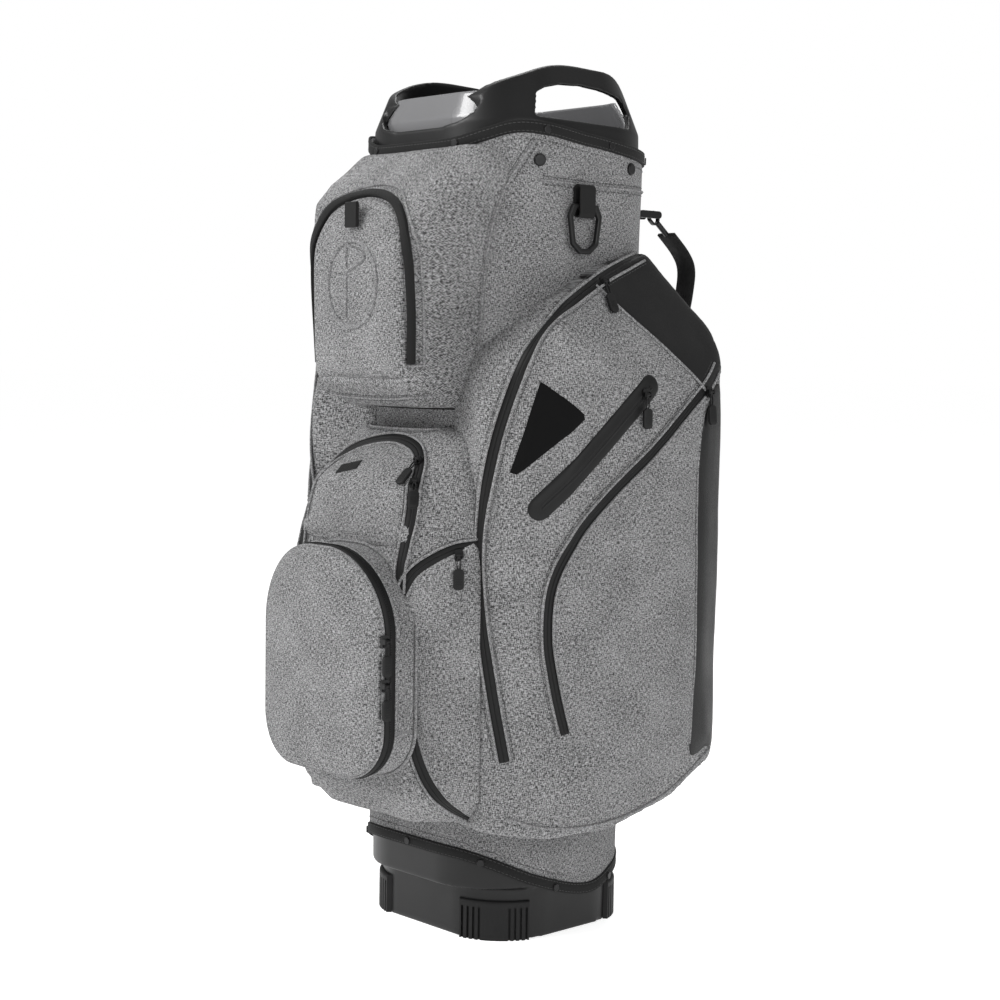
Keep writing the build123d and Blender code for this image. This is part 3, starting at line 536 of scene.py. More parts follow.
def panel(name, surface, outline, view, height, material, slotName, body="bag", cell=5.0, thick=1.6, sharp=False,
          rings=(1.2, 3.0, 5.5, 8.0, 11.0), direct=0.0, back=None):
    # a fabric panel cut to an outline, laid on a surface and raised by height(distance from its edge)
    if sharp:
        loop = []
        for p, q in zip(outline, outline[1:] + outline[:1]):
            p, q = Vector(p), Vector(q)
            parts = max(1, round((q - p).length / cell))
            loop += [p.lerp(q, k / parts) for k in range(parts)]
    else:
        loop = smoothPath(outline, cell, True)
    area = sum(p.x * q.y - q.x * p.y for p, q in zip(loop, loop[1:] + loop[:1]))
    if area < 0:
        loop.reverse()
    edgeTree = KDTree(len(loop) * 4)
    marks = []
    for p, q in zip(loop, loop[1:] + loop[:1]):
        marks += [p.lerp(q, k / 4) for k in range(4)]
    for i, p in enumerate(marks):
        edgeTree.insert((p.x, p.y, 0), i)
    edgeTree.balance()
    flatLoop = [(p.x, p.y) for p in loop]

    def toEdge(p):
        return edgeTree.find((p[0], p[1], 0))[2]

    inner = []
    count = len(loop)
    for ring in rings:
        for i in range(count):
            along = (loop[(i + 1) % count] - loop[i - 1]).normalized()
            p = loop[i] + Vector((-along.y, along.x)) * ring
            if insideLoop((p.x, p.y), flatLoop) and toEdge(p) > ring * 0.93:
                inner.append((p.x, p.y))
    lowX, highX = min(p[0] for p in flatLoop), max(p[0] for p in flatLoop)
    lowY, highY = min(p[1] for p in flatLoop), max(p[1] for p in flatLoop)
    row, y = 0, lowY
    while y < highY:
        x = lowX + (cell / 2 if row % 2 else 0)
        while x < highX:
            if insideLoop((x, y), flatLoop) and toEdge((x, y)) > rings[-1] + cell * 0.6:
                inner.append((x, y))
            x += cell
        y += cell * 0.87
        row += 1
    points = [Vector(p) for p in flatLoop + inner]
    cut, _, faces, *_ = delaunay_2d_cdt(points, [], [list(range(count))], 1, 1e-4, False)
    vertices, uvs = [], []
    outward = views[view][0]
    for p in cut:
        place, normal = castOn(surface, p, view)
        normal = normal.lerp(outward, direct).normalized()
        distance = max(0.0, toEdge(p))
        vertices.append(place + normal * (height(distance, p, place) * mm))
        uvs.append((p[0] * mm, p[1] * mm))
    # the underside, a fixed thickness below
    total = len(vertices)
    middle = []
    for p, top in zip(cut, vertices):
        place, normal = castOn(surface, p, view)
        middle.append(top - normal.lerp(outward, direct).normalized() * (thick * mm) if back is None
                      else place - outward * (back * mm))
    edgeUse = {}
    for face in faces:
        for a, b in zip(face, face[1:] + face[:1]):
            edgeUse[(a, b)] = edgeUse.get((a, b), 0) + 1
    allFaces = [tuple(f) for f in faces] + [tuple(total + i for i in reversed(f)) for f in faces]
    for (a, b) in edgeUse:
        if (b, a) not in edgeUse:
            allFaces.append((b, a, total + a, total + b))
    return addPiece(name, vertices + middle, allFaces, material, slotName, body, uvs + uvs)


def puffed(lift, puff, reach=35.0, wrinkle=0.0, seam=0.0, seed=0.0, edge=0.4):
    def height(distance, p, place):
        value = edge + lift * (1 - math.exp(-distance / 2.2)) + puff * (1 - math.exp(-distance / reach))
        if seam:
            value -= 0.8 * math.exp(-((distance - seam) / 1.3) ** 2)
        if wrinkle:
            fade = 1 - math.exp(-distance / 20)
            value += wrinkle * fade * noise.noise(Vector((p[0] / 55 + seed, p[1] / 80, seed)))
            value += wrinkle * 0.35 * fade * noise.noise(Vector((p[0] / 22, p[1] / 30 + seed, seed)))
        return value
    return height


def mirrorPiece(piece, name, *nodes, body=None):
    mesh = piece.data.copy()
    mesh.name = name
    mesh.transform(Matrix.Diagonal((-1, 1, 1, 1)))
    mesh.flip_normals()
    copy = bpy.data.objects.new(name, mesh)
    bpy.context.scene.collection.objects.link(copy)
    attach(copy, body or piece["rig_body"])
    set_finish(copy, piece["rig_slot"])
    if nodes:
        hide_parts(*nodes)
    return copy


def bothSides(piece, *nodes, body=None):
    # the right-hand piece and its left-hand twin
    name = piece.name
    piece.name = piece.data.name = name + "Right"
    if nodes:
        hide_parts(nodes[0])
    twin = mirrorPiece(piece, name + "Left", *nodes[1:], body=body)
    return piece, twin


def roundUv(piece, radius=0.16, centreY=0.0):
    # fabric coordinates wrapped round the bag, in metres
    mesh = piece.data
    layer = mesh.uv_layers.get("weave") or mesh.uv_layers.new(name="weave")
    for polygon in mesh.polygons:
        angles = []
        for i in polygon.loop_indices:
            v = mesh.vertices[mesh.loops[i].vertex_index].co
            angles.append(math.atan2(v.y - centreY, v.x))
        middle = angles[0]
        for i, angle in zip(polygon.loop_indices, angles):
            if angle - middle > math.pi:
                angle -= 2 * math.pi
            elif angle - middle < -math.pi:
                angle += 2 * math.pi
            layer.data[i].uv = (angle * radius, mesh.vertices[mesh.loops[i].vertex_index].co.z)


def solidFrom(name, rings):
    # a closed solid through stacked rings of the same number of points
    vertices = [p for ring in rings for p in ring]
    count = len(rings[0])
    faces = []
    for level in range(len(rings) - 1):
        for k in range(count):
            m = (k + 1) % count
            faces.append((level * count + k, level * count + m, (level + 1) * count + m, (level + 1) * count + k))
    faces.append(tuple(reversed(range(count))))
    faces.append(tuple(len(vertices) - count + k for k in range(count)))
    mesh = bpy.data.meshes.new(name)
    mesh.from_pydata([tuple(Vector(v) * mm) for v in vertices], [], faces)
    piece = bpy.data.objects.new(name, mesh)
    bpy.context.scene.collection.objects.link(piece)
    makeOutward(piece)
    return piece


def soften(piece, voxel, rounds, factor=0.5):
    remesh = piece.modifiers.new("remesh", "REMESH")
    remesh.mode, remesh.voxel_size = "VOXEL", voxel * mm
    smooth = piece.modifiers.new("smooth", "SMOOTH")
    smooth.factor, smooth.iterations = factor, rounds
    applyModifiers(piece)


def boolean(piece, other, operation):
    modifier = piece.modifiers.new("cut", "BOOLEAN")
    modifier.operation, modifier.object, modifier.solver = operation, other, "EXACT"
    modifier.material_mode = "TRANSFER"
    applyModifiers(piece)
    bpy.data.objects.remove(other)


def finishForm(piece, name, material, slotName, grow=0.0, wrinkle=0.0, seed=0.0):
    mesh = piece.data
    for v in mesh.vertices:
        fold = noise.noise(Vector((v.co.x * 13 + seed, v.co.y * 13, v.co.z * 9))) * wrinkle
        fold += noise.noise(Vector((v.co.x * 34, v.co.y * 34 + seed, v.co.z * 22))) * wrinkle * 0.35
        v.co += v.normal * ((grow + fold) * mm)
    mesh.materials.clear()
    mesh.materials.append(finishes[material])
    for polygon in mesh.polygons:
        polygon.use_smooth = True
        polygon.material_index = 0
    mesh.update()
    piece.name = mesh.name = name
    roundUv(piece)
    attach(piece, "bag")
    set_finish(piece, slotName)
    return piece


# the tube -------------------------------------------------------------------------------------------
tube = {
    "foot": 240.0, "head": 262.0, "footRadius": 84.0, "headRadius": 90.0, "lean": 8.0, "height": 850.0, "wall": 3.0,
    "footEdge": [(-140, 92), (-112, 88), (-45, 58), (30, 38), (80, 50), (140, 66)],
    "headEdge": [(-140, 829), (-122, 831), (-108, 840), (-86, 849), (-56, 848), (-10, 842), (20, 839), (80, 832),
                 (145, 829)],
}


def tubeRing(z, grow=0.0, step=4.0):
    part = z / tube["height"]
    size = tube["foot"] + (tube["head"] - tube["foot"]) * part + 2 * grow
    radius = tube["footRadius"] + (tube["headRadius"] - tube["footRadius"]) * part + grow
    return size, radius, tube["lean"] * part


def tubePoint(angleIndex, count, z, grow=0.0):
    size, radius, centre = tubeRing(z, grow)
    half = size / 2 - radius
    side = 8 * half + 2 * math.pi * radius
    s = (angleIndex / count) * side
    corners = [(1, -1), (1, 1), (-1, 1), (-1, -1)]
    # starts in the middle of the front and goes towards +X
    s = s + 0.0
    runs = [("line", half, (0, -1))]
    place = None
    segments = [(half, "f1"), (radius * math.pi / 2, "c0"), (2 * half, "r"), (radius * math.pi / 2, "c1"),
                (2 * half, "b"), (radius * math.pi / 2, "c2"), (2 * half, "l"), (radius * math.pi / 2, "c3"),
                (half + 1e-6, "f2")]
    for length, kind in segments:
        if s <= length or kind == "f2":
            break
        s -= length
    outer = size / 2
    if kind == "f1":
        place, normal = (s, -outer), (0, -1)
    elif kind == "r":
        place, normal = (outer, -half + s), (1, 0)
    elif kind == "b":
        place, normal = (half - s, outer), (0, 1)
    elif kind == "l":
        place, normal = (-outer, half - s), (-1, 0)
    elif kind == "f2":
        place, normal = (-half + s, -outer), (0, -1)
    else:
        number = int(kind[1])
        cx, cy = corners[number]
        angle = math.radians(-90 + 90 * number) + s / radius
        normal = (math.cos(angle), math.sin(angle))
        place = (cx * half + radius * normal[0], cy * half + radius * normal[1])
    return Vector((place[0], place[1] + centre, z)), Vector((normal[0], normal[1], 0))


def heightTable(points):
    curve = smoothPath(points, 2.0)
    return {y: min(curve, key=lambda p: abs(p.x - y)).y for y in range(-150, 151)}


footTable, headTable = heightTable(tube["footEdge"]), heightTable(tube["headEdge"])


def tableAt(table, y):
    low = max(-150, min(149, math.floor(y)))
    return table[low] + (table[low + 1] - table[low]) * (y - low)


def makeTube():
    around, levels = 220, 150
    vertices, uvs, faces = [], [], []
    for wall in (0, 1):
        for i in range(around):
            sample, _ = tubePoint(i, around, 60)
            low = tableAt(footTable, sample.y)
            sample, _ = tubePoint(i, around, 840)
            high = tableAt(headTable, sample.y)
            for k in range(levels):
                z = low + (high - low) * k / (levels - 1)
                p, n = tubePoint(i, around, z)
                fold = noise.noise(Vector((p.x / 60, p.y / 60, z / 95))) * 0.9
                fold += noise.noise(Vector((p.x / 24, p.y / 24, z / 38))) * 0.3
                shift = -tube["wall"] if wall else fold
                vertices.append((p + n * shift) * mm)
                uvs.append((i / around * 0.95, z * mm))
    size = around * levels
    for i in range(around):
        j = (i + 1) % around
        for k in range(levels - 1):
            a, b, c, d = i * levels + k, j * levels + k, j * levels + k + 1, i * levels + k + 1
            faces.append((a, b, c, d))
            faces.append((size + d, size + c, size + b, size + a))
        faces.append((i * levels, size + i * levels, size + j * levels, j * levels))
        top = levels - 1
        faces.append((j * levels + top, size + j * levels + top, size + i * levels + top, i * levels + top))
    piece = addPiece("tubeFabric", vertices, faces, "greyMelange", "melange_fabric", uvs=uvs)
    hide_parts("tube_front_panel", "tube_right_panel", "tube_left_panel", "tube_spine_panel")
    return piece


tubePiece = makeTube()
tubeSurface = surfaceOf(tubePiece)


def tubeLine(table, offset, grow=0.0, count=230):
    line = []
    for i in range(count):
        sample, _ = tubePoint(i, count, 450)
        p, n = tubePoint(i, count, tableAt(table, sample.y) + offset, grow)
        line.append((p * mm, n))
    return evenLine(line, True, 2)


headBand = sweep("collarBand", tubeLine(headTable, -4.5), bandProfile(6.5, 2.2, -0.3), "blackWebbing", "webbing",
                 closed=True)
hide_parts("collar_trim_band")
footBand = sweep("baseBand", tubeLine(footTable, 5.5), bandProfile(6.0, 2.2, -0.3), "blackWebbing", "webbing",
                 closed=True)
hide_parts("base_trim_band")
for bandName, table, offset in (("collarBandStitchHigh", headTable, -0.8), ("collarBandStitchLow", headTable, -9.0),
                                ("footBandStitchHigh", footTable, 9.8), ("footBandStitchLow", footTable, 1.4)):
    run = tubeLine(table, offset, 2.2)
    stitchRun(bandName, run + run[:1], tone="greyThread")
for name, table, offset in (("collarHemStitch", headTable, -17.0), ("footHemStitch", footTable, 18.0)):
    run = tubeLine(table, offset, 0.4)
    stitchRun(name, run + run[:1], width=0.35)
print("tube done")

# the front body: cooler and corner pockets ----------------------------------------------------------
frontSections = [(136, 62, 104, 132, 176), (168, 82, 138, 146, 198), (400, 86, 138, 148, 205), (480, 76, 126, 136, 190),
                 (536, 56, 100, 118, 136)]


def frontRing(z, flatHalf, sideHalf, sideY, frontY):
    return [(-flatHalf, -frontY, z), (flatHalf, -frontY, z), (sideHalf, -sideY, z), (sideHalf, -60, z),
            (-sideHalf, -60, z), (-sideHalf, -sideY, z)]


frontBody = solidFrom("frontBody", [frontRing(*section) for section in frontSections])
soften(frontBody, 4.5, 7)
finishForm(frontBody, "frontBody", "greyMelange", "melange_fabric", grow=0.8, wrinkle=1.6, seed=3.0)
frontSurface = surfaceOf(frontBody)

cooler = {
    "lid": [(-75, 423), (-77, 452), (-72, 484), (-60, 502), (-38, 515), (0, 520), (38, 515), (60, 502), (72, 484),
            (77, 452), (75, 423)],
    "zip": [(-80, 376), (-82, 425), (-81, 462), (-75, 490), (-62, 508), (-40, 520), (0, 526), (40, 520), (62, 508),
            (75, 490), (81, 462), (82, 425), (80, 376)],
    "mouth": [(-70, 424), (-70, 470), (-56, 496), (-30, 508), (30, 508), (56, 496), (70, 470), (70, 424)],
}


def prism(name, outline, near, far, material):
    # an outline seen from the front, carried from y = near to y = far
    rings = [[(x, y, z) for x, z in outline] for y in (near, far)]
    piece = solidFrom(name, rings)
    piece.data.materials.append(finishes[material])
    return piece


boolean(frontBody, prism("coolerCavity", cooler["mouth"], -240, -142, "blackLining"), "DIFFERENCE")
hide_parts("cooler_pocket_shell")
lidPanel = panel("coolerLid", frontSurface, cooler["lid"], "front", puffed(1.6, 5.0, 30, 1.2, 6.0, 1.0),
                 "greyMelange", "melange_fabric", "cooler_lid", thick=2.4, cell=7.0)
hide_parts("cooler_lid")
zipLine = lineOn(frontSurface, cooler["zip"], "front")
sweep("coolerZip", zipLine, tapeProfile(5.4), "coatedTape", "coated_tape")
for side in (-1, 1):
    sweep(f"coolerPiping{'Right' if side > 0 else 'Left'}Edge", shiftLine(zipLine, side * 6.9),
          roundProfile(1.4, 0.9), "pipingMelange", "melange_fabric")
stitchRun("coolerStitch", shiftLine(zipLine, 9.5, 0.2) if shiftLine(zipLine, 9.5)[40][0].z > zipLine[40][0].z
          else shiftLine(zipLine, -9.5, 0.2))
label = panel("coolerLabel", surfaceOf(lidPanel), [(-46, 497), (-18, 503), (-17, 494), (-45, 488)], "front",
              puffed(0.5, 0.2), "blackWebbing", "webbing", "cooler_lid", cell=2.5, sharp=True, rings=(0.8, 2.0))
print("front body done")

# the ball pocket ------------------------------------------------------------------------------------
ball = {"half": 95.0, "low": 190.0, "high": 418.0, "radius": 50.0, "topRadius": 84.0, "face": -250.0, "back": -203.0, "crown": 9.0}
ballMiddle = (ball["low"] + ball["high"]) / 2
doorBack = ball["face"] + 6


def ballFlare(x, z):
    # the door's edge sweeps back a little towards its two sides
    return 7.0 * (x / ball["half"]) ** 2


def ballSpokes(inset, count=240):
    # the arched outline, with the same number of points at every inset so that rings join
    def measures(step):
        half, tall = ball["half"] - step, (ball["high"] - ball["low"]) / 2 - step
        top = max(1.5, min(ball["topRadius"] - step * 0.85, half - 0.4, tall - 0.4))
        low = max(1.5, min(ball["radius"] - step * 0.7, half - 0.4, tall - 0.4))
        return half, tall, top, low

    def lengths(half, tall, top, low):
        quarter = math.pi / 2
        return [2 * tall - top - low, top * quarter, 2 * (half - top), top * quarter, 2 * tall - top - low,
                low * quarter, 2 * (half - low), low * quarter]

    half, tall, top, low = measures(inset)
    reference, own = lengths(*measures(0)), lengths(half, tall, top, low)
    total, points = sum(reference), []
    for i in range(count):
        s, kind = i / count * total, 0
        while s > reference[kind]:
            s -= reference[kind]
            kind += 1
        s = s / reference[kind] * own[kind]
        if kind == 0:
            points.append((half, -tall + low + s))
        elif kind == 2:
            points.append((half - top - s, tall))
        elif kind == 4:
            points.append((-half, tall - top - s))
        elif kind == 6:
            points.append((-half + low + s, -tall))
        else:
            radius = top if kind < 4 else low
            cx, cz = {1: (half - top, tall - top), 3: (top - half, tall - top), 5: (low - half, low - tall),
                      7: (half - low, low - tall)}[kind]
            angle = (kind - 1) / 2 * math.pi / 2 + s / radius
            points.append((cx + radius * math.cos(angle), cz + radius * math.sin(angle)))
    return points


def ballRing(inset, y):
    return [Vector((x, y + ballFlare(x, z), z + ballMiddle)) * mm for x, z in ballSpokes(inset)]


def makeGusset():
    levels = [(-2.5, ball["back"]), (-2.0, -209), (-1.4, -217), (-1.0, -225), (-0.8, doorBack + 9), (-0.6, doorBack + 0.5),
              (3.0, doorBack + 0.5), (3.4, -228), (4.0, -206)]
    rings = [ballRing(inset, y) for inset, y in levels]
    count = len(rings[0])
    vertices, uvs, faces = [], [], []
    for level, ring in enumerate(rings):
        walked = 0.0
        for k, p in enumerate(ring):
            vertices.append(p)
            walked += (p - ring[k - 1]).length if k else 0
            uvs.append((walked, p.y))
    for level in range(len(rings)):
        following = (level + 1) % len(rings)
        for k in range(count):
            m = (k + 1) % count
            faces.append((level * count + k, level * count + m, following * count + m, following * count + k))
    piece = addPiece("ballGusset", vertices, faces, "greyMelange", "melange_fabric", uvs=uvs)
    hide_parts("ball_pocket_shell")
    return piece


makeGusset()


def ballEdgeLine(inset, y, outwards=True):
    loop = ballRing(inset, y)
    line = []
    count = len(loop)
    for k, p in enumerate(loop):
        along = (loop[(k + 1) % count] - loop[k - 1]).normalized()
        normal = Vector((along.z, 0, -along.x)).normalized()
        line.append((p, normal if outwards else Vector((0, -1, 0))))
    return line


ballZipLine = ballEdgeLine(-1.0, doorBack + 7.0)
ballZip = sweep("ballZipTape", ballZipLine, bandProfile(6.4, 1.5), "coatedTape", "coated_tape", closed=True)
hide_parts("ball_zip_tape")


def makeTeeth(name, line, aside, body, size=(1.1, 1.7, 1.5), pitch=2.4):
    vertices, faces, uvs = [], [], []
    total, at, i = 0.0, 0.0, 0
    closedLine = line + line[:1]
    walked = [0.0]
    for (p, _), (q, _) in zip(closedLine, closedLine[1:]):
        walked.append(walked[-1] + (q - p).length / mm)
    while at < walked[-1] - pitch:
        while walked[i + 1] < at:
            i += 1
        t = (at - walked[i]) / (walked[i + 1] - walked[i])
        p, n = closedLine[i][0].lerp(closedLine[i + 1][0], t), closedLine[i][1]
        along = (closedLine[i + 1][0] - closedLine[i][0]).normalized()
        side = along.cross(n).normalized()
        base = len(vertices)
        for a in (-0.5, 0.5):
            for s in (-0.5, 0.5):
                for h in (0.0, 1.0):
                    shrink = 0.75 if h else 1.0
                    vertices.append(p + along * (a * size[0] * shrink * mm) + side * ((aside + s * size[1] * shrink) * mm)
                                    + n * ((0.9 + h * size[2]) * mm))
                    uvs.append((0, 0))
        for face in ((0, 1, 3, 2), (4, 6, 7, 5), (0, 4, 5, 1), (2, 3, 7, 6), (1, 5, 7, 3), (0, 2, 6, 4)):
            faces.append(tuple(base + k for k in face))
        at += pitch
    return addPiece(name, vertices, faces, "softRubber", "soft_rubber", body, uvs, smooth=False)


makeTeeth("ballZipTeeth", ballZipLine, 0.0, "bag")
for name, inset, y, body in (("ballBackPiping", -3.6, ball["back"] - 2.5, "bag"),
                             ("ballZipPiping", -1.4, doorBack + 15.0, "bag"),
                             ("ballDoorPiping", -0.4, doorBack - 1.0, "ball_pocket_door")):
    sweep(name, ballEdgeLine(inset, y), roundProfile(1.7, 0.0), "pipingMelange", "melange_fabric", body, closed=True)


def makeDoor():
    loopMaterial = "greyMelange"
    insets = [0.6, 0.0, 0.8, 2.4, 4.5, 7.0, 9.0, 13.0, 19.0, 27.0, 37.0, 49.0, 62.0, 76.0, 88.0]
    vertices, uvs, faces = [], [], []
    count = None
    for level, inset in enumerate(insets):
        pts = ballSpokes(inset)
        count = len(pts)
        bulge = ball["crown"] * (1 - math.exp(-max(0, inset - 1) / 26))
        edge = {0: 0.0, 1: 2.6, 2: 4.6}.get(level, 5.2)
        if level == 6:
            edge -= 0.9
        for x, z in pts:
            y = doorBack - edge - bulge + ballFlare(x, z)
            if level > 3:
                y -= 1.3 * noise.noise(Vector((x / 50, z / 62, 4.2)))
            vertices.append(Vector((x, y, z + ballMiddle)) * mm)
            uvs.append((x * mm, z * mm))
    for level in range(len(insets) - 1):
        for k in range(count):
            m = (k + 1) % count
            faces.append((level * count + k, level * count + m, (level + 1) * count + m, (level + 1) * count + k))
    last = len(insets) - 1
    centre = len(vertices)
    vertices.append(Vector((0, doorBack - 5.2 - ball["crown"], ballMiddle)) * mm)
    uvs.append((0, 0))
    back = len(vertices)
    vertices.append(Vector((0, doorBack, ballMiddle)) * mm)
    uvs.append((0, 0))
    for k in range(count):
        m = (k + 1) % count
        faces.append((last * count + k, last * count + m, centre))
        faces.append((m, k, back))
    piece = addPiece("ballDoor", vertices, faces, loopMaterial, "melange_fabric", "ball_pocket_door", uvs)
    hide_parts("ball_pocket_door")
    return piece


makeDoor()
ballLining = panel("ballLining", frontSurface, [(x, z + ballMiddle) for x, z in ballSpokes(3)][::2], "front", puffed(0.5, 0.5), "blackLining", "lining",
                   cell=8, sharp=True)
print("ball pocket done")

# corner pockets -------------------------------------------------------------------------------------
corner = {
    "outline": [(-10, 422), (-32, 417), (-57, 404), (-74, 390), (-84, 364), (-86, 319), (-75, 249), (-57, 193),
                (-32, 160), (-8, 143), (-6, 200), (-6, 340)],
    "zip": [(-8, 424), (-33, 420), (-60, 407), (-78, 391), (-88, 364), (-90, 319), (-79, 248), (-61, 190), (-34, 156),
            (-6, 139)],
}
cornerPanel = panel("cornerPocket", frontSurface, corner["outline"], "corner", puffed(1.4, 8.0, 26, 1.4, 6.0, 5.0),
                    "greyMelange", "melange_fabric", thick=3.0, cell=7.5)
cornerZipLine = lineOn(frontSurface, corner["zip"], "corner")
cornerZip = sweep("cornerZip", cornerZipLine, tapeProfile(5.2), "coatedTape", "coated_tape")
cornerPiping = sweep("cornerPiping", shiftLine(cornerZipLine, 6.6), roundProfile(1.4, 0.8), "pipingMelange",
                     "melange_fabric")
cornerPipingB = sweep("cornerPipingOuter", shiftLine(cornerZipLine, -6.6), roundProfile(1.4, 0.8), "pipingMelange",
                      "melange_fabric")
leftCorner = bothSides(cornerPanel, "corner_pocket_right", "corner_pocket_left")[1]
cornerStitch = stitchRun("cornerStitch", shiftLine(cornerZipLine, 8.6, 0.3))
for piece in (cornerZip, cornerPiping, cornerPipingB, cornerStitch):
    bothSides(piece)

# side pockets ---------------------------------------------------------------------------------------
side = {
    "plan": [(60, -118), (104, -132), (139, -147), (166, -118), (187, -72), (202, 20), (204, 64), (203, 112),
             (192, 147), (103, 150), (103, 90), (60, 90)],
    "profile": [(-150, 134), (-90, 126), (0, 124), (76, 142), (136, 180), (160, 206), (160, 632), (76, 724),
                (12, 704), (-60, 668), (-112, 618), (-150, 556)],
    "breadth": [(60, 100), (172, 100), (190, 150), (199, 210), (204, 300), (206, 420), (206, 540), (202, 590),
                (189, 622), (168, 662), (150, 704), (143, 742), (60, 742)],
}


def makeSideBody():
    piece = solidFrom("sideBody", [[(x, y, z) for x, y in side["plan"]] for z in (60, 820)])
    profile = solidFrom("sideProfile", [[(x, y, z) for y, z in side["profile"]] for x in (40, 260)])
    breadth = solidFrom("sideBreadth", [[(x, y, z) for x, z in side["breadth"]] for y in (-300, 300)])
    boolean(piece, profile, "INTERSECT")
    boolean(piece, breadth, "INTERSECT")
    soften(piece, 4.5, 9)
    return finishForm(piece, "apparelPocket", "greyMelange", "melange_fabric", grow=1.2, wrinkle=2.2, seed=9.0)


sideBody = makeSideBody()
sideSurface = surfaceOf(sideBody)
sideZips = {
    "apparel": [(150, 719), (129, 707), (108, 693), (67, 657), (38, 618), (15, 560), (0, 500), (-8, 430), (-5, 350),
                (5, 280), (19, 207)],
    "back": [(137, 599), (111, 576), (34, 514), (-28, 463), (-64, 424), (-84, 382), (-88, 330), (-81, 284),
             (-69, 233)],
}
apparelLine = lineOn(sideSurface, sideZips["apparel"], "corner")
apparelZip = sweep("apparelZip", apparelLine, tapeProfile(5.2), "coatedTape", "coated_tape")
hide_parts("side_zip_tapes")
apparelPieces = [apparelZip]
for aside, label in ((-6.8, "Inner"), (6.8, "Outer")):
    apparelPieces.append(sweep(f"apparelPiping{label}", shiftLine(apparelLine, aside), roundProfile(1.5, 0.9),
                               "pipingMelange", "melange_fabric"))
backOutline = sideZips["back"] + [(-56, 205), (-30, 184), (20, 174), (70, 175), (97, 196), (98, 300), (97, 480),
                                  (104, 548)]
backPanel = panel("backPocket", sideSurface, backOutline, "right", puffed(2.2, 6.5, 34, 2.0, 7.0, 2.0),
                  "greyMelange", "melange_fabric", thick=3.0, cell=9.0)
backLine = lineOn(sideSurface, [(y - 3, z + 5) if z > 420 else (y - 6, z) for y, z in sideZips["back"]], "right")
backZip = sweep("backZip", backLine, tapeProfile(5.0), "coatedTape", "coated_tape")
backPiping = sweep("backZipPiping", shiftLine(backLine, 6.4), roundProfile(1.5, 1.4), "pipingMelange",
                   "melange_fabric")
backPipingB = sweep("backZipPipingInner", shiftLine(backLine, -6.4), roundProfile(1.5, 1.4), "pipingMelange",
                    "melange_fabric")
gussetOutline = [(-14, 690), (10, 702), (40, 716), (74, 724), (102, 700), (128, 670), (147, 636), (150, 606),
                 (134, 588), (114, 572), (98, 588), (37, 644)]
leatherGusset = panel("leatherGusset", sideSurface, gussetOutline, "right", puffed(0.9, 1.2, 20, 0.8), "blackLeather",
                      "soft_leather")
stripOutline = [(101, 200), (126, 200), (146, 214), (147, 400), (147, 560), (132, 586), (108, 548), (101, 480),
                (101, 340)]
leatherStrip = panel("leatherStrip", sideSurface, stripOutline, "right", puffed(0.7, 0.8, 20), "blackLeather",
                     "soft_leather")
stripSeam = sweep("stripSeam", lineOn(sideSurface, [(99, 204), (99, 300), (98, 400), (98, 494)], "right"),
                  roundProfile(1.3, 1.2), "pipingMelange", "melange_fabric")
gussetSeam = sweep("gussetSeam", lineOn(sideSurface, [(-14, 686), (37, 643), (98, 590), (116, 572)], "right"),
                   roundProfile(1.5, 1.2), "pipingMelange", "melange_fabric")
bottomSeam = sweep("bottomSeam", lineOn(sideSurface, [(-128, 150), (-91, 138), (-4, 134), (73, 152), (136, 194)],
                                        "right"), roundProfile(1.6, 0.8), "pipingMelange", "melange_fabric")
for name, line, sides in (("apparelStitch", apparelLine, (-10.5, 10.5)), ("backZipStitch", backLine, (-10, 10))):
    for k, aside in enumerate(sides):
        apparelPieces.append(stitchRun(f"{name}{k}", shiftLine(line, aside, 0.5)))
for k in range(3):          # three plain marks on the leather strip
    low = 262 + 24 * k
    apparelPieces.append(panel(f"stripMark{k}", sideSurface, [(118, low), (130, low + 6), (130, low + 14),
                                                              (118, low + 8)], "right", puffed(1.4, 0.3),
                               "whitePrint", "soft_leather", cell=3, sharp=True, rings=(0.8, 2.0)))
for piece in apparelPieces + [backZip, backPiping, backPipingB, stripSeam, gussetSeam, bottomSeam, leatherGusset,
                              leatherStrip]:
    bothSides(piece)
bothSides(backPanel)[1]
bothSides(sideBody, "apparel_pocket_right", "apparel_pocket_left")

patchOutline = [(-104, 588), (-100, 586), (-59, 556), (-58, 551), (-124, 496), (-129, 498)]
patchPiece = panel("glovePatch", sideSurface, patchOutline, "right", puffed(0.9, 0.6, 12), "hookLoop", "hook_fabric",
                   cell=3.0, sharp=True, rings=(0.8, 2.0, 4.0))
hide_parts("glove_patch")


def sleeveOutline(grow):
    (y0, z0), (y1, z1) = (24, 584), (-103, 462)
    radius = 12 + grow
    along = Vector((y1 - y0, z1 - z0)).normalized()
    across = Vector((-along.y, along.x))
    points = []
    for centre, direction in ((Vector((y0, z0)), -1), (Vector((y1, z1)), 1)):
        for k in range(9):
            angle = math.pi * k / 8 - math.pi / 2
            points.append(centre + along * (direction * radius * math.cos(angle))
                          + across * (direction * radius * math.sin(angle)))
    return [(p.x, p.y) for p in points]


sleeveFrame = panel("sleeveFrame", sideSurface, sleeveOutline(0), "right", puffed(2.0, 0.8, 6), "coatedTape",
                    "coated_tape", cell=3.0, sharp=True, rings=(0.8, 2.0, 4.0, 6.5))
sleeveLine = lineOn(sideSurface, [(23, 583), (-40, 522), (-102, 463)], "right")
sleeveZip = sweep("sleeveZip", shiftLine(sleeveLine, 0, 2.2), tapeProfile(3.2), "coatedTape", "coated_tape")
bothSides(sleeveFrame, "sleeve_zip_frame_right", "sleeve_zip_frame_left")
bothSides(sleeveZip)
print("side pockets done")

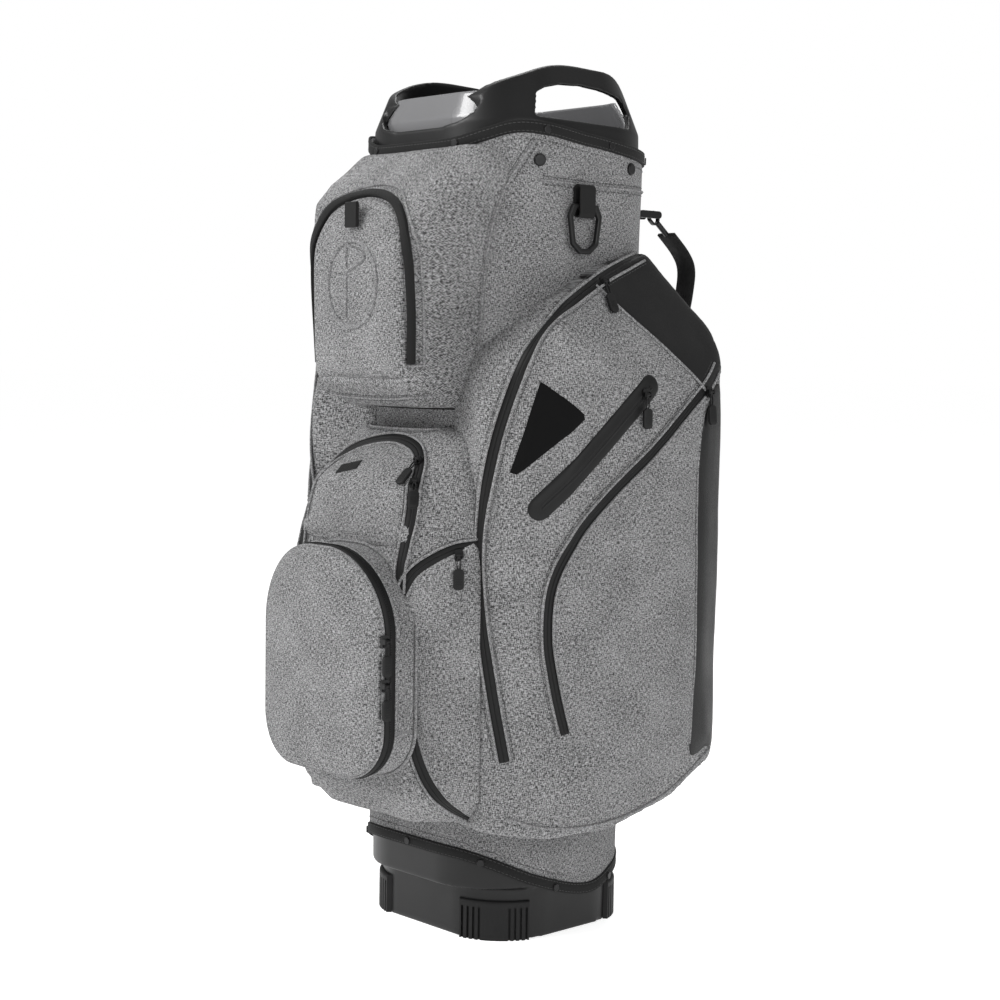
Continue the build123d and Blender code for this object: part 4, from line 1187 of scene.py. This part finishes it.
# the valuables pocket -------------------------------------------------------------------------------
valuables = {
    "sections": [(560, 78, 160), (584, 86, 194), (640, 87, 197), (720, 92, 197), (768, 102, 188), (792, 108, 162), (808, 106, 142),
                 (826, 100, 124)],
    "flap": [(-70, 594), (-71, 660), (-70, 715), (-62, 742), (-42, 762), (0, 771), (42, 762), (62, 742), (70, 715),
             (71, 660), (70, 594), (40, 592), (-40, 592)],
    "mouth": [(-60, 606), (-60, 712), (-52, 734), (-34, 750), (34, 750), (52, 734), (60, 712), (60, 606)],
}


def valuablesRing(z, half, frontY):
    inner = min(18, frontY - 110)
    return [(-half + 18, -frontY, z), (half - 18, -frontY, z), (half, -frontY + 22, z), (half, -60, z),
            (-half, -60, z), (-half, -frontY + 22, z)]


upperBody = solidFrom("valuablesPocket", [valuablesRing(*section) for section in valuables["sections"]])
soften(upperBody, 4.5, 8)
finishForm(upperBody, "valuablesPocket", "greyMelangeBias", "melange_fabric", grow=0.8, wrinkle=1.4, seed=6.0)
upperSurface = surfaceOf(upperBody)
boolean(upperBody, prism("valuablesCavity", valuables["mouth"], -230, -140, "blackLining"), "DIFFERENCE")
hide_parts("valuables_pocket_shell")
flapPiece = panel("valuablesFlap", upperSurface, valuables["flap"], "front", puffed(3.4, 4.0, 30, 1.0, 11.0, 8.0),
                  "greyMelange", "melange_fabric", "valuables_flap", thick=3.4, direct=0.8,
                  cell=7.0)
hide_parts("valuables_flap")
flapSurface = surfaceOf(flapPiece)
bindingPath = [(-75, 604), (-76, 660), (-75, 716), (-66, 746), (-45, 767), (0, 776), (45, 767), (66, 746), (75, 716),
               (76, 660), (75, 604)]
bindingLine = lineOn(upperSurface, bindingPath, "front")
sweep("flapBinding", shiftLine(bindingLine, 0, 1.5), bandProfile(4.6, 2.6, -2.0), "blackWebbing", "webbing",
      "valuables_flap")
outerPath = [(-83, 600), (-84, 660), (-83, 718), (-73, 752), (-49, 776), (0, 786), (49, 776), (73, 752), (83, 718),
             (84, 660), (83, 600)]
sweep("flapSurroundPiping", lineOn(upperSurface, outerPath, "front"), roundProfile(1.4, 0.6), "pipingMelange",
      "melange_fabric")

# seams and piping of the upper bag
upperAll = joinedSurface(upperSurface, tubeSurface, frontSurface)
seams = {
    "tubeCornerPiping": ("corner", [(40, 832), (31, 818), (22, 804), (8, 780), (-4, 742), (-10, 700), (-14, 640),
                                    (-17, 598), (-21, 572)], True),
    "yokeSeam": ("right", [(-62, 792), (0, 790), (60, 790), (118, 792)], True),
    "pouchLowerSeam": ("front", [(-84, 603), (-40, 599), (0, 598), (40, 599), (84, 603)], False),
    "pouchBottomSeam": ("front", [(-76, 572), (-40, 569), (0, 568), (40, 569), (76, 572)], False),
    "waistSeam": ("front", [(-96, 540), (-50, 536), (0, 535), (50, 536), (96, 540)], False),
    "spineSeam": ("back", [(62, 120), (62, 400), (63, 700), (64, 800)], True),
    "spineYokeSeam": ("back", [(-105, 792), (0, 790), (105, 792)], False),
}
for name, (view, points, mirrored) in seams.items():
    line = lineOn(upperAll, points, view)
    made = [sweep(name, line, roundProfile(1.5, 0.7), "pipingMelange", "melange_fabric")]
    for aside, label in ((-4.2, "StitchA"), (4.2, "StitchB")):
        made.append(stitchRun(name + label, shiftLine(line, aside, 0.4)))
    if mirrored:
        for piece in made:
            bothSides(piece)
# painted shadow: a black band laid on the tube in the recess under the valuables pocket, standing in for the shade of
# its overhang
sweep("waistPaintedShadowStrip", lineOn(tubeSurface, [(-84, 561), (0, 560), (84, 561)], "front"), bandProfile(3.5, 2.6),
      "blackWebbing", "webbing")
emblem = {  # a plain golf flag, embossed
    "Pole": [(-9, 652), (-9, 700), (-9, 724)],
    "Flag": [(-9, 724), (6, 718), (21, 711), (6, 703), (-9, 697)],
    "Green": [(-30, 652), (-18, 645), (0, 642), (18, 645), (30, 652)],
    "Ring": [(0, 728), (26, 716), (37, 688), (26, 658), (0, 636), (-26, 658), (-37, 688), (-26, 716)],
}
for name, points in emblem.items():
    if name == "Ring":
        points = [(38 * math.cos(math.radians(a)), 684 + 44 * math.sin(math.radians(a))) for a in range(0, 360, 30)]
    sweep("emblem" + name, lineOn(flapSurface, points, "front", 2.0, name == "Ring"), roundProfile(2.3, 0.0),
          "pipingMelange", "melange_fabric", "valuables_flap", closed=name == "Ring")
print("valuables pocket done")

# collar, liner and base from their moulded shapes ---------------------------------------------------
def mouldedCopy(node, name, material, slotName, voxel, rounds, body="bag"):
    source = frame["nodes"][node]
    mesh = source.data.copy()
    piece = bpy.data.objects.new(name, mesh)
    bpy.context.scene.collection.objects.link(piece)
    bpy.ops.object.select_all(action="DESELECT")
    bpy.context.view_layer.objects.active = piece
    piece.select_set(True)
    bpy.ops.object.mode_set(mode="EDIT")
    bpy.ops.mesh.select_all(action="SELECT")
    bpy.ops.mesh.remove_doubles(threshold=0.00002)
    bpy.ops.object.mode_set(mode="OBJECT")
    soften(piece, voxel, rounds)
    mesh = piece.data
    mesh.name = name
    mesh.materials.clear()
    mesh.materials.append(finishes[material])
    for polygon in mesh.polygons:
        polygon.use_smooth = True
        polygon.material_index = 0
    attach(piece, body)
    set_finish(piece, slotName)
    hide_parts(node)
    return piece


mouldedCopy("top_collar", "collarMoulding", "blackMoulding", "black_moulding", 1.8, 5)
mouldedCopy("collar_liner", "collarLiner", "greyMoulding", "grey_moulding", 1.5, 3)
mouldedCopy("base_moulding", "baseMoulding", "blackMoulding", "black_moulding", 2.2, 3)
mouldedCopy("towel_ring", "towelRing", "blackMoulding", "black_moulding", 0.7, 4, "towel_ring")
print("mouldings done")

# shoulder strap -------------------------------------------------------------------------------------
strap = {
    "x": 84.0, "width": 25.0,
    "path": [(175, 751), (200, 730), (210, 712), (207, 684), (197, 640), (187, 560), (180, 480), (175, 420), (169, 370),
             (157, 348)],
    "pad": [(206, 652), (197, 590), (191, 520), (184, 450)],
}


def planeLine(points, step=4.0):
    run = smoothPath(points, step)
    line = []
    for i, p in enumerate(run):
        along = run[min(i + 1, len(run) - 1)] - run[max(i - 1, 0)]
        normal = Vector((0, -along.y, along.x)).normalized()
        line.append((Vector((strap["x"], p.x, p.y)) * mm, normal))
    return line


strapPiece = sweep("shoulderStrap", planeLine(strap["path"]), bandProfile(12.5, 1.5, -1.5), "blackWebbing", "webbing",
                   "shoulder_strap")
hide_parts("shoulder_strap")
padProfile = [(-30, -1), (-28.5, 4.0), (-22, 6.0), (-12, 6.6), (0, 6.8), (12, 6.6), (22, 6.0), (28.5, 4.0), (30, -1),
              (28.5, -5.0), (0, -6.0), (-28.5, -5.0)]
padPiece = sweep("shoulderPad", planeLine(strap["pad"]), padProfile, "padLeather", "soft_leather", "shoulder_strap")
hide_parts("shoulder_pad")
print("strap done")

# zip pulls ------------------------------------------------------------------------------------------
jointByChild = {joint["child"]: joint for joint in frame["joints"]}


def pullFrame(node):
    joint = jointByChild[node]
    pivot = Vector(joint["pos_m"])
    across = Vector(joint["axis"]).normalized()
    low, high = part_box(node)
    drop = (Vector(low) + Vector(high)) / 2 - pivot
    drop = (drop - across * drop.dot(across)).normalized()
    up = -drop
    out = (-across).cross(up).normalized()
    return pivot, -across, up, out


def addTorus(major, minor, place, stretch):
    bpy.ops.mesh.primitive_torus_add(major_radius=major * mm, minor_radius=minor * mm, major_segments=28,
                                     minor_segments=8, location=Vector(place) * mm)
    ring = bpy.context.active_object
    ring.scale = stretch
    bpy.ops.object.transform_apply(location=True, rotation=True, scale=True)
    return ring


def makePullTemplate():
    bpy.ops.object.select_all(action="DESELECT")
    bpy.ops.mesh.primitive_cube_add(size=1, location=(0, -24.5 * mm, 0.1 * mm), scale=(11 * mm, 21 * mm, 3.4 * mm))
    tab = bpy.context.active_object
    bpy.ops.object.transform_apply(location=True, rotation=True, scale=True)
    bevel = tab.modifiers.new("corners", "BEVEL")
    bevel.width, bevel.segments, bevel.limit_method = 4 * mm, 5, "WEIGHT"
    weights = tab.data.attributes.new("bevel_weight_edge", "FLOAT", "EDGE")
    for edge in tab.data.edges:
        a, b = (tab.data.vertices[i].co for i in edge.vertices)
        weights.data[edge.index].value = 1.0 if abs(a.z - b.z) > 1 * mm else 0.0
    soft = tab.modifiers.new("soft", "BEVEL")
    soft.width, soft.segments, soft.limit_method, soft.angle_limit = 0.7 * mm, 2, "ANGLE", math.radians(50)
    applyModifiers(tab)
    parts = [tab]
    for k in range(4):
        bpy.ops.mesh.primitive_cube_add(size=1, location=(0, (-30.5 + 2.6 * k) * mm, 1.85 * mm),
                                        scale=(6.4 * mm, 1.1 * mm, 0.5 * mm))
        bpy.ops.object.transform_apply(location=True, rotation=True, scale=True)
        parts.append(bpy.context.active_object)
    parts.append(addTorus(3.0, 0.85, (0, -8.6, 0), (0.62, 2.3, 1)))
    bpy.ops.mesh.primitive_cylinder_add(vertices=20, radius=1.65 * mm, depth=4.8 * mm, rotation=(0, math.pi / 2, 0))
    bpy.ops.object.transform_apply(location=True, rotation=True, scale=True)
    parts.append(bpy.context.active_object)
    bpy.ops.object.select_all(action="DESELECT")
    for part in parts:
        part.select_set(True)
    bpy.context.view_layer.objects.active = tab
    bpy.ops.object.join()
    tab.select_set(False)
    return tab


pullTemplate = makePullTemplate()
for child in sorted(jointByChild):
    if not child.startswith("zip_pull"):
        continue
    pivot, across, up, out = pullFrame(child)
    mesh = pullTemplate.data.copy()
    place = Matrix((across, up, out)).transposed().to_4x4()
    place.translation = pivot
    mesh.transform(place)
    mesh.materials.clear()
    mesh.materials.append(finishes["softRubber"])
    pull = bpy.data.objects.new("pull_" + child[9:], mesh)
    bpy.context.scene.collection.objects.link(pull)
    makeOutward(pull, True)
    sharpen(pull, 35)
    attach(pull, child)
    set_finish(pull, "soft_rubber")
    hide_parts(child)
bpy.data.objects.remove(pullTemplate)
print("pulls done")

# the CAD pieces that keep their own shape -----------------------------------------------------------
keptFinishes = {
    "divider_grid": "blackMoulding", "divider_row_sheets": "blackLining", "divider_slot_sheets": "blackLining",
    "cooler_foam_liner": "foilLining", "corner_stays": "blackMoulding", "collar_rivets": "blackMetal",
    "base_rivets": "blackMetal", "rain_hood_snaps": "blackMetal", "strap_hooks": "blackMetal",
    "strap_anchors": "blackMetal", "flap_magnets": "brightSteel", "tee_badge_frame": "softRubber",
    "zip_sliders": "blackMetal", "sleeve_slider_right": "blackMetal", "sleeve_slider_left": "blackMetal",
    "flap_pull_tab": "blackWebbing", "towel_ring_loop": "blackWebbing", "rubber_foot_front_right": "softRubber",
    "rubber_foot_front_left": "softRubber", "rubber_foot_back_right": "softRubber",
    "rubber_foot_back_left": "softRubber",
}
for node, finish in keptFinishes.items():
    kept = frame["nodes"][node]
    if kept.type == "MESH":
        kept.data.materials.clear()
        kept.data.materials.append(finishes[finish])

# studio ---------------------------------------------------------------------------------------------
bpy.ops.mesh.primitive_plane_add(size=80, location=(0, 0, 0))
floor = bpy.context.active_object
floor.name = "studioFloor"
floorMaterial = bpy.data.materials.new("paleFloor")
floorMaterial.use_nodes = True
floorMaterial.node_tree.nodes["Principled BSDF"].inputs["Base Color"].default_value = (0.9, 0.9, 0.9, 1)
floorShader = floorMaterial.node_tree.nodes["Principled BSDF"]
floorShader.inputs["Roughness"].default_value = 0.9
floorShader.inputs["Specular IOR Level"].default_value = 0.0
floorShader.inputs["Emission Color"].default_value = (1, 1, 1, 1)
floorShader.inputs["Emission Strength"].default_value = 0.62
floor.data.materials.append(floorMaterial)

studio = {
    "world": 0.42,
    "lights": [  # name, place, aim, size, watts
        ("keySoftbox", (-1.1, -2.4, 2.3), (0, 0, 0.5), 1.5, 92),
        ("sideSoftbox", (2.7, -0.6, 1.5), (0, 0, 0.5), 1.2, 34),
        ("topSoftbox", (-0.6, 0.6, 2.8), (0, 0, 0.6), 1.5, 30),
    ],
}
bpy.context.scene.view_settings.view_transform = "Standard"
world = bpy.data.worlds.new("studioWorld")
bpy.context.scene.world = world
world.use_nodes = True
world.node_tree.nodes["Background"].inputs[0].default_value = (1, 1, 1, 1)
# the sky is plain white to look at and dimmer as a light
worldTree = world.node_tree
rays = worldTree.nodes.new("ShaderNodeLightPath")
strength = addNode(worldTree, "ShaderNodeMix", {"Factor": rays.outputs["Is Camera Ray"]}, data_type="FLOAT")
strength.inputs[2].default_value, strength.inputs[3].default_value = studio["world"], 1.0
worldTree.links.new(strength.outputs[0], worldTree.nodes["Background"].inputs[1])
for name, place, aim, size, watts in studio["lights"]:
    data = bpy.data.lights.new(name, "AREA")
    data.shape, data.size, data.energy = "SQUARE", size, watts
    lamp = bpy.data.objects.new(name, data)
    lamp.location = place
    lamp.rotation_euler = (Vector(aim) - Vector(place)).to_track_quat("-Z", "Y").to_euler()
    bpy.context.scene.collection.objects.link(lamp)

view = {"azimuth": 47.05, "distance": 2.12, "height": 0.6154, "pitch": 4.32, "roll": 0.8, "lens": 69.75,
        "shift": 0.0037}
azimuth, pitch, roll = (math.radians(view[key]) for key in ("azimuth", "pitch", "roll"))
forward = Vector((-math.sin(azimuth) * math.cos(pitch), math.cos(azimuth) * math.cos(pitch), -math.sin(pitch)))
right = Vector((math.cos(azimuth), math.sin(azimuth), 0))
up = right.cross(forward)
rightRolled = right * math.cos(roll) + up * math.sin(roll)
upRolled = up * math.cos(roll) - right * math.sin(roll)
cameraData = bpy.data.cameras.new("productCamera")
cameraData.lens, cameraData.sensor_width, cameraData.shift_x = view["lens"], 36.0, view["shift"]
camera = bpy.data.objects.new("productCamera", cameraData)
place = Matrix((rightRolled, upRolled, -forward)).transposed().to_4x4()
place.translation = Vector((math.sin(azimuth) * view["distance"], -math.cos(azimuth) * view["distance"],
                            view["height"]))
camera.matrix_world = place
bpy.context.scene.collection.objects.link(camera)
bpy.context.scene.camera = camera
print("studio done")
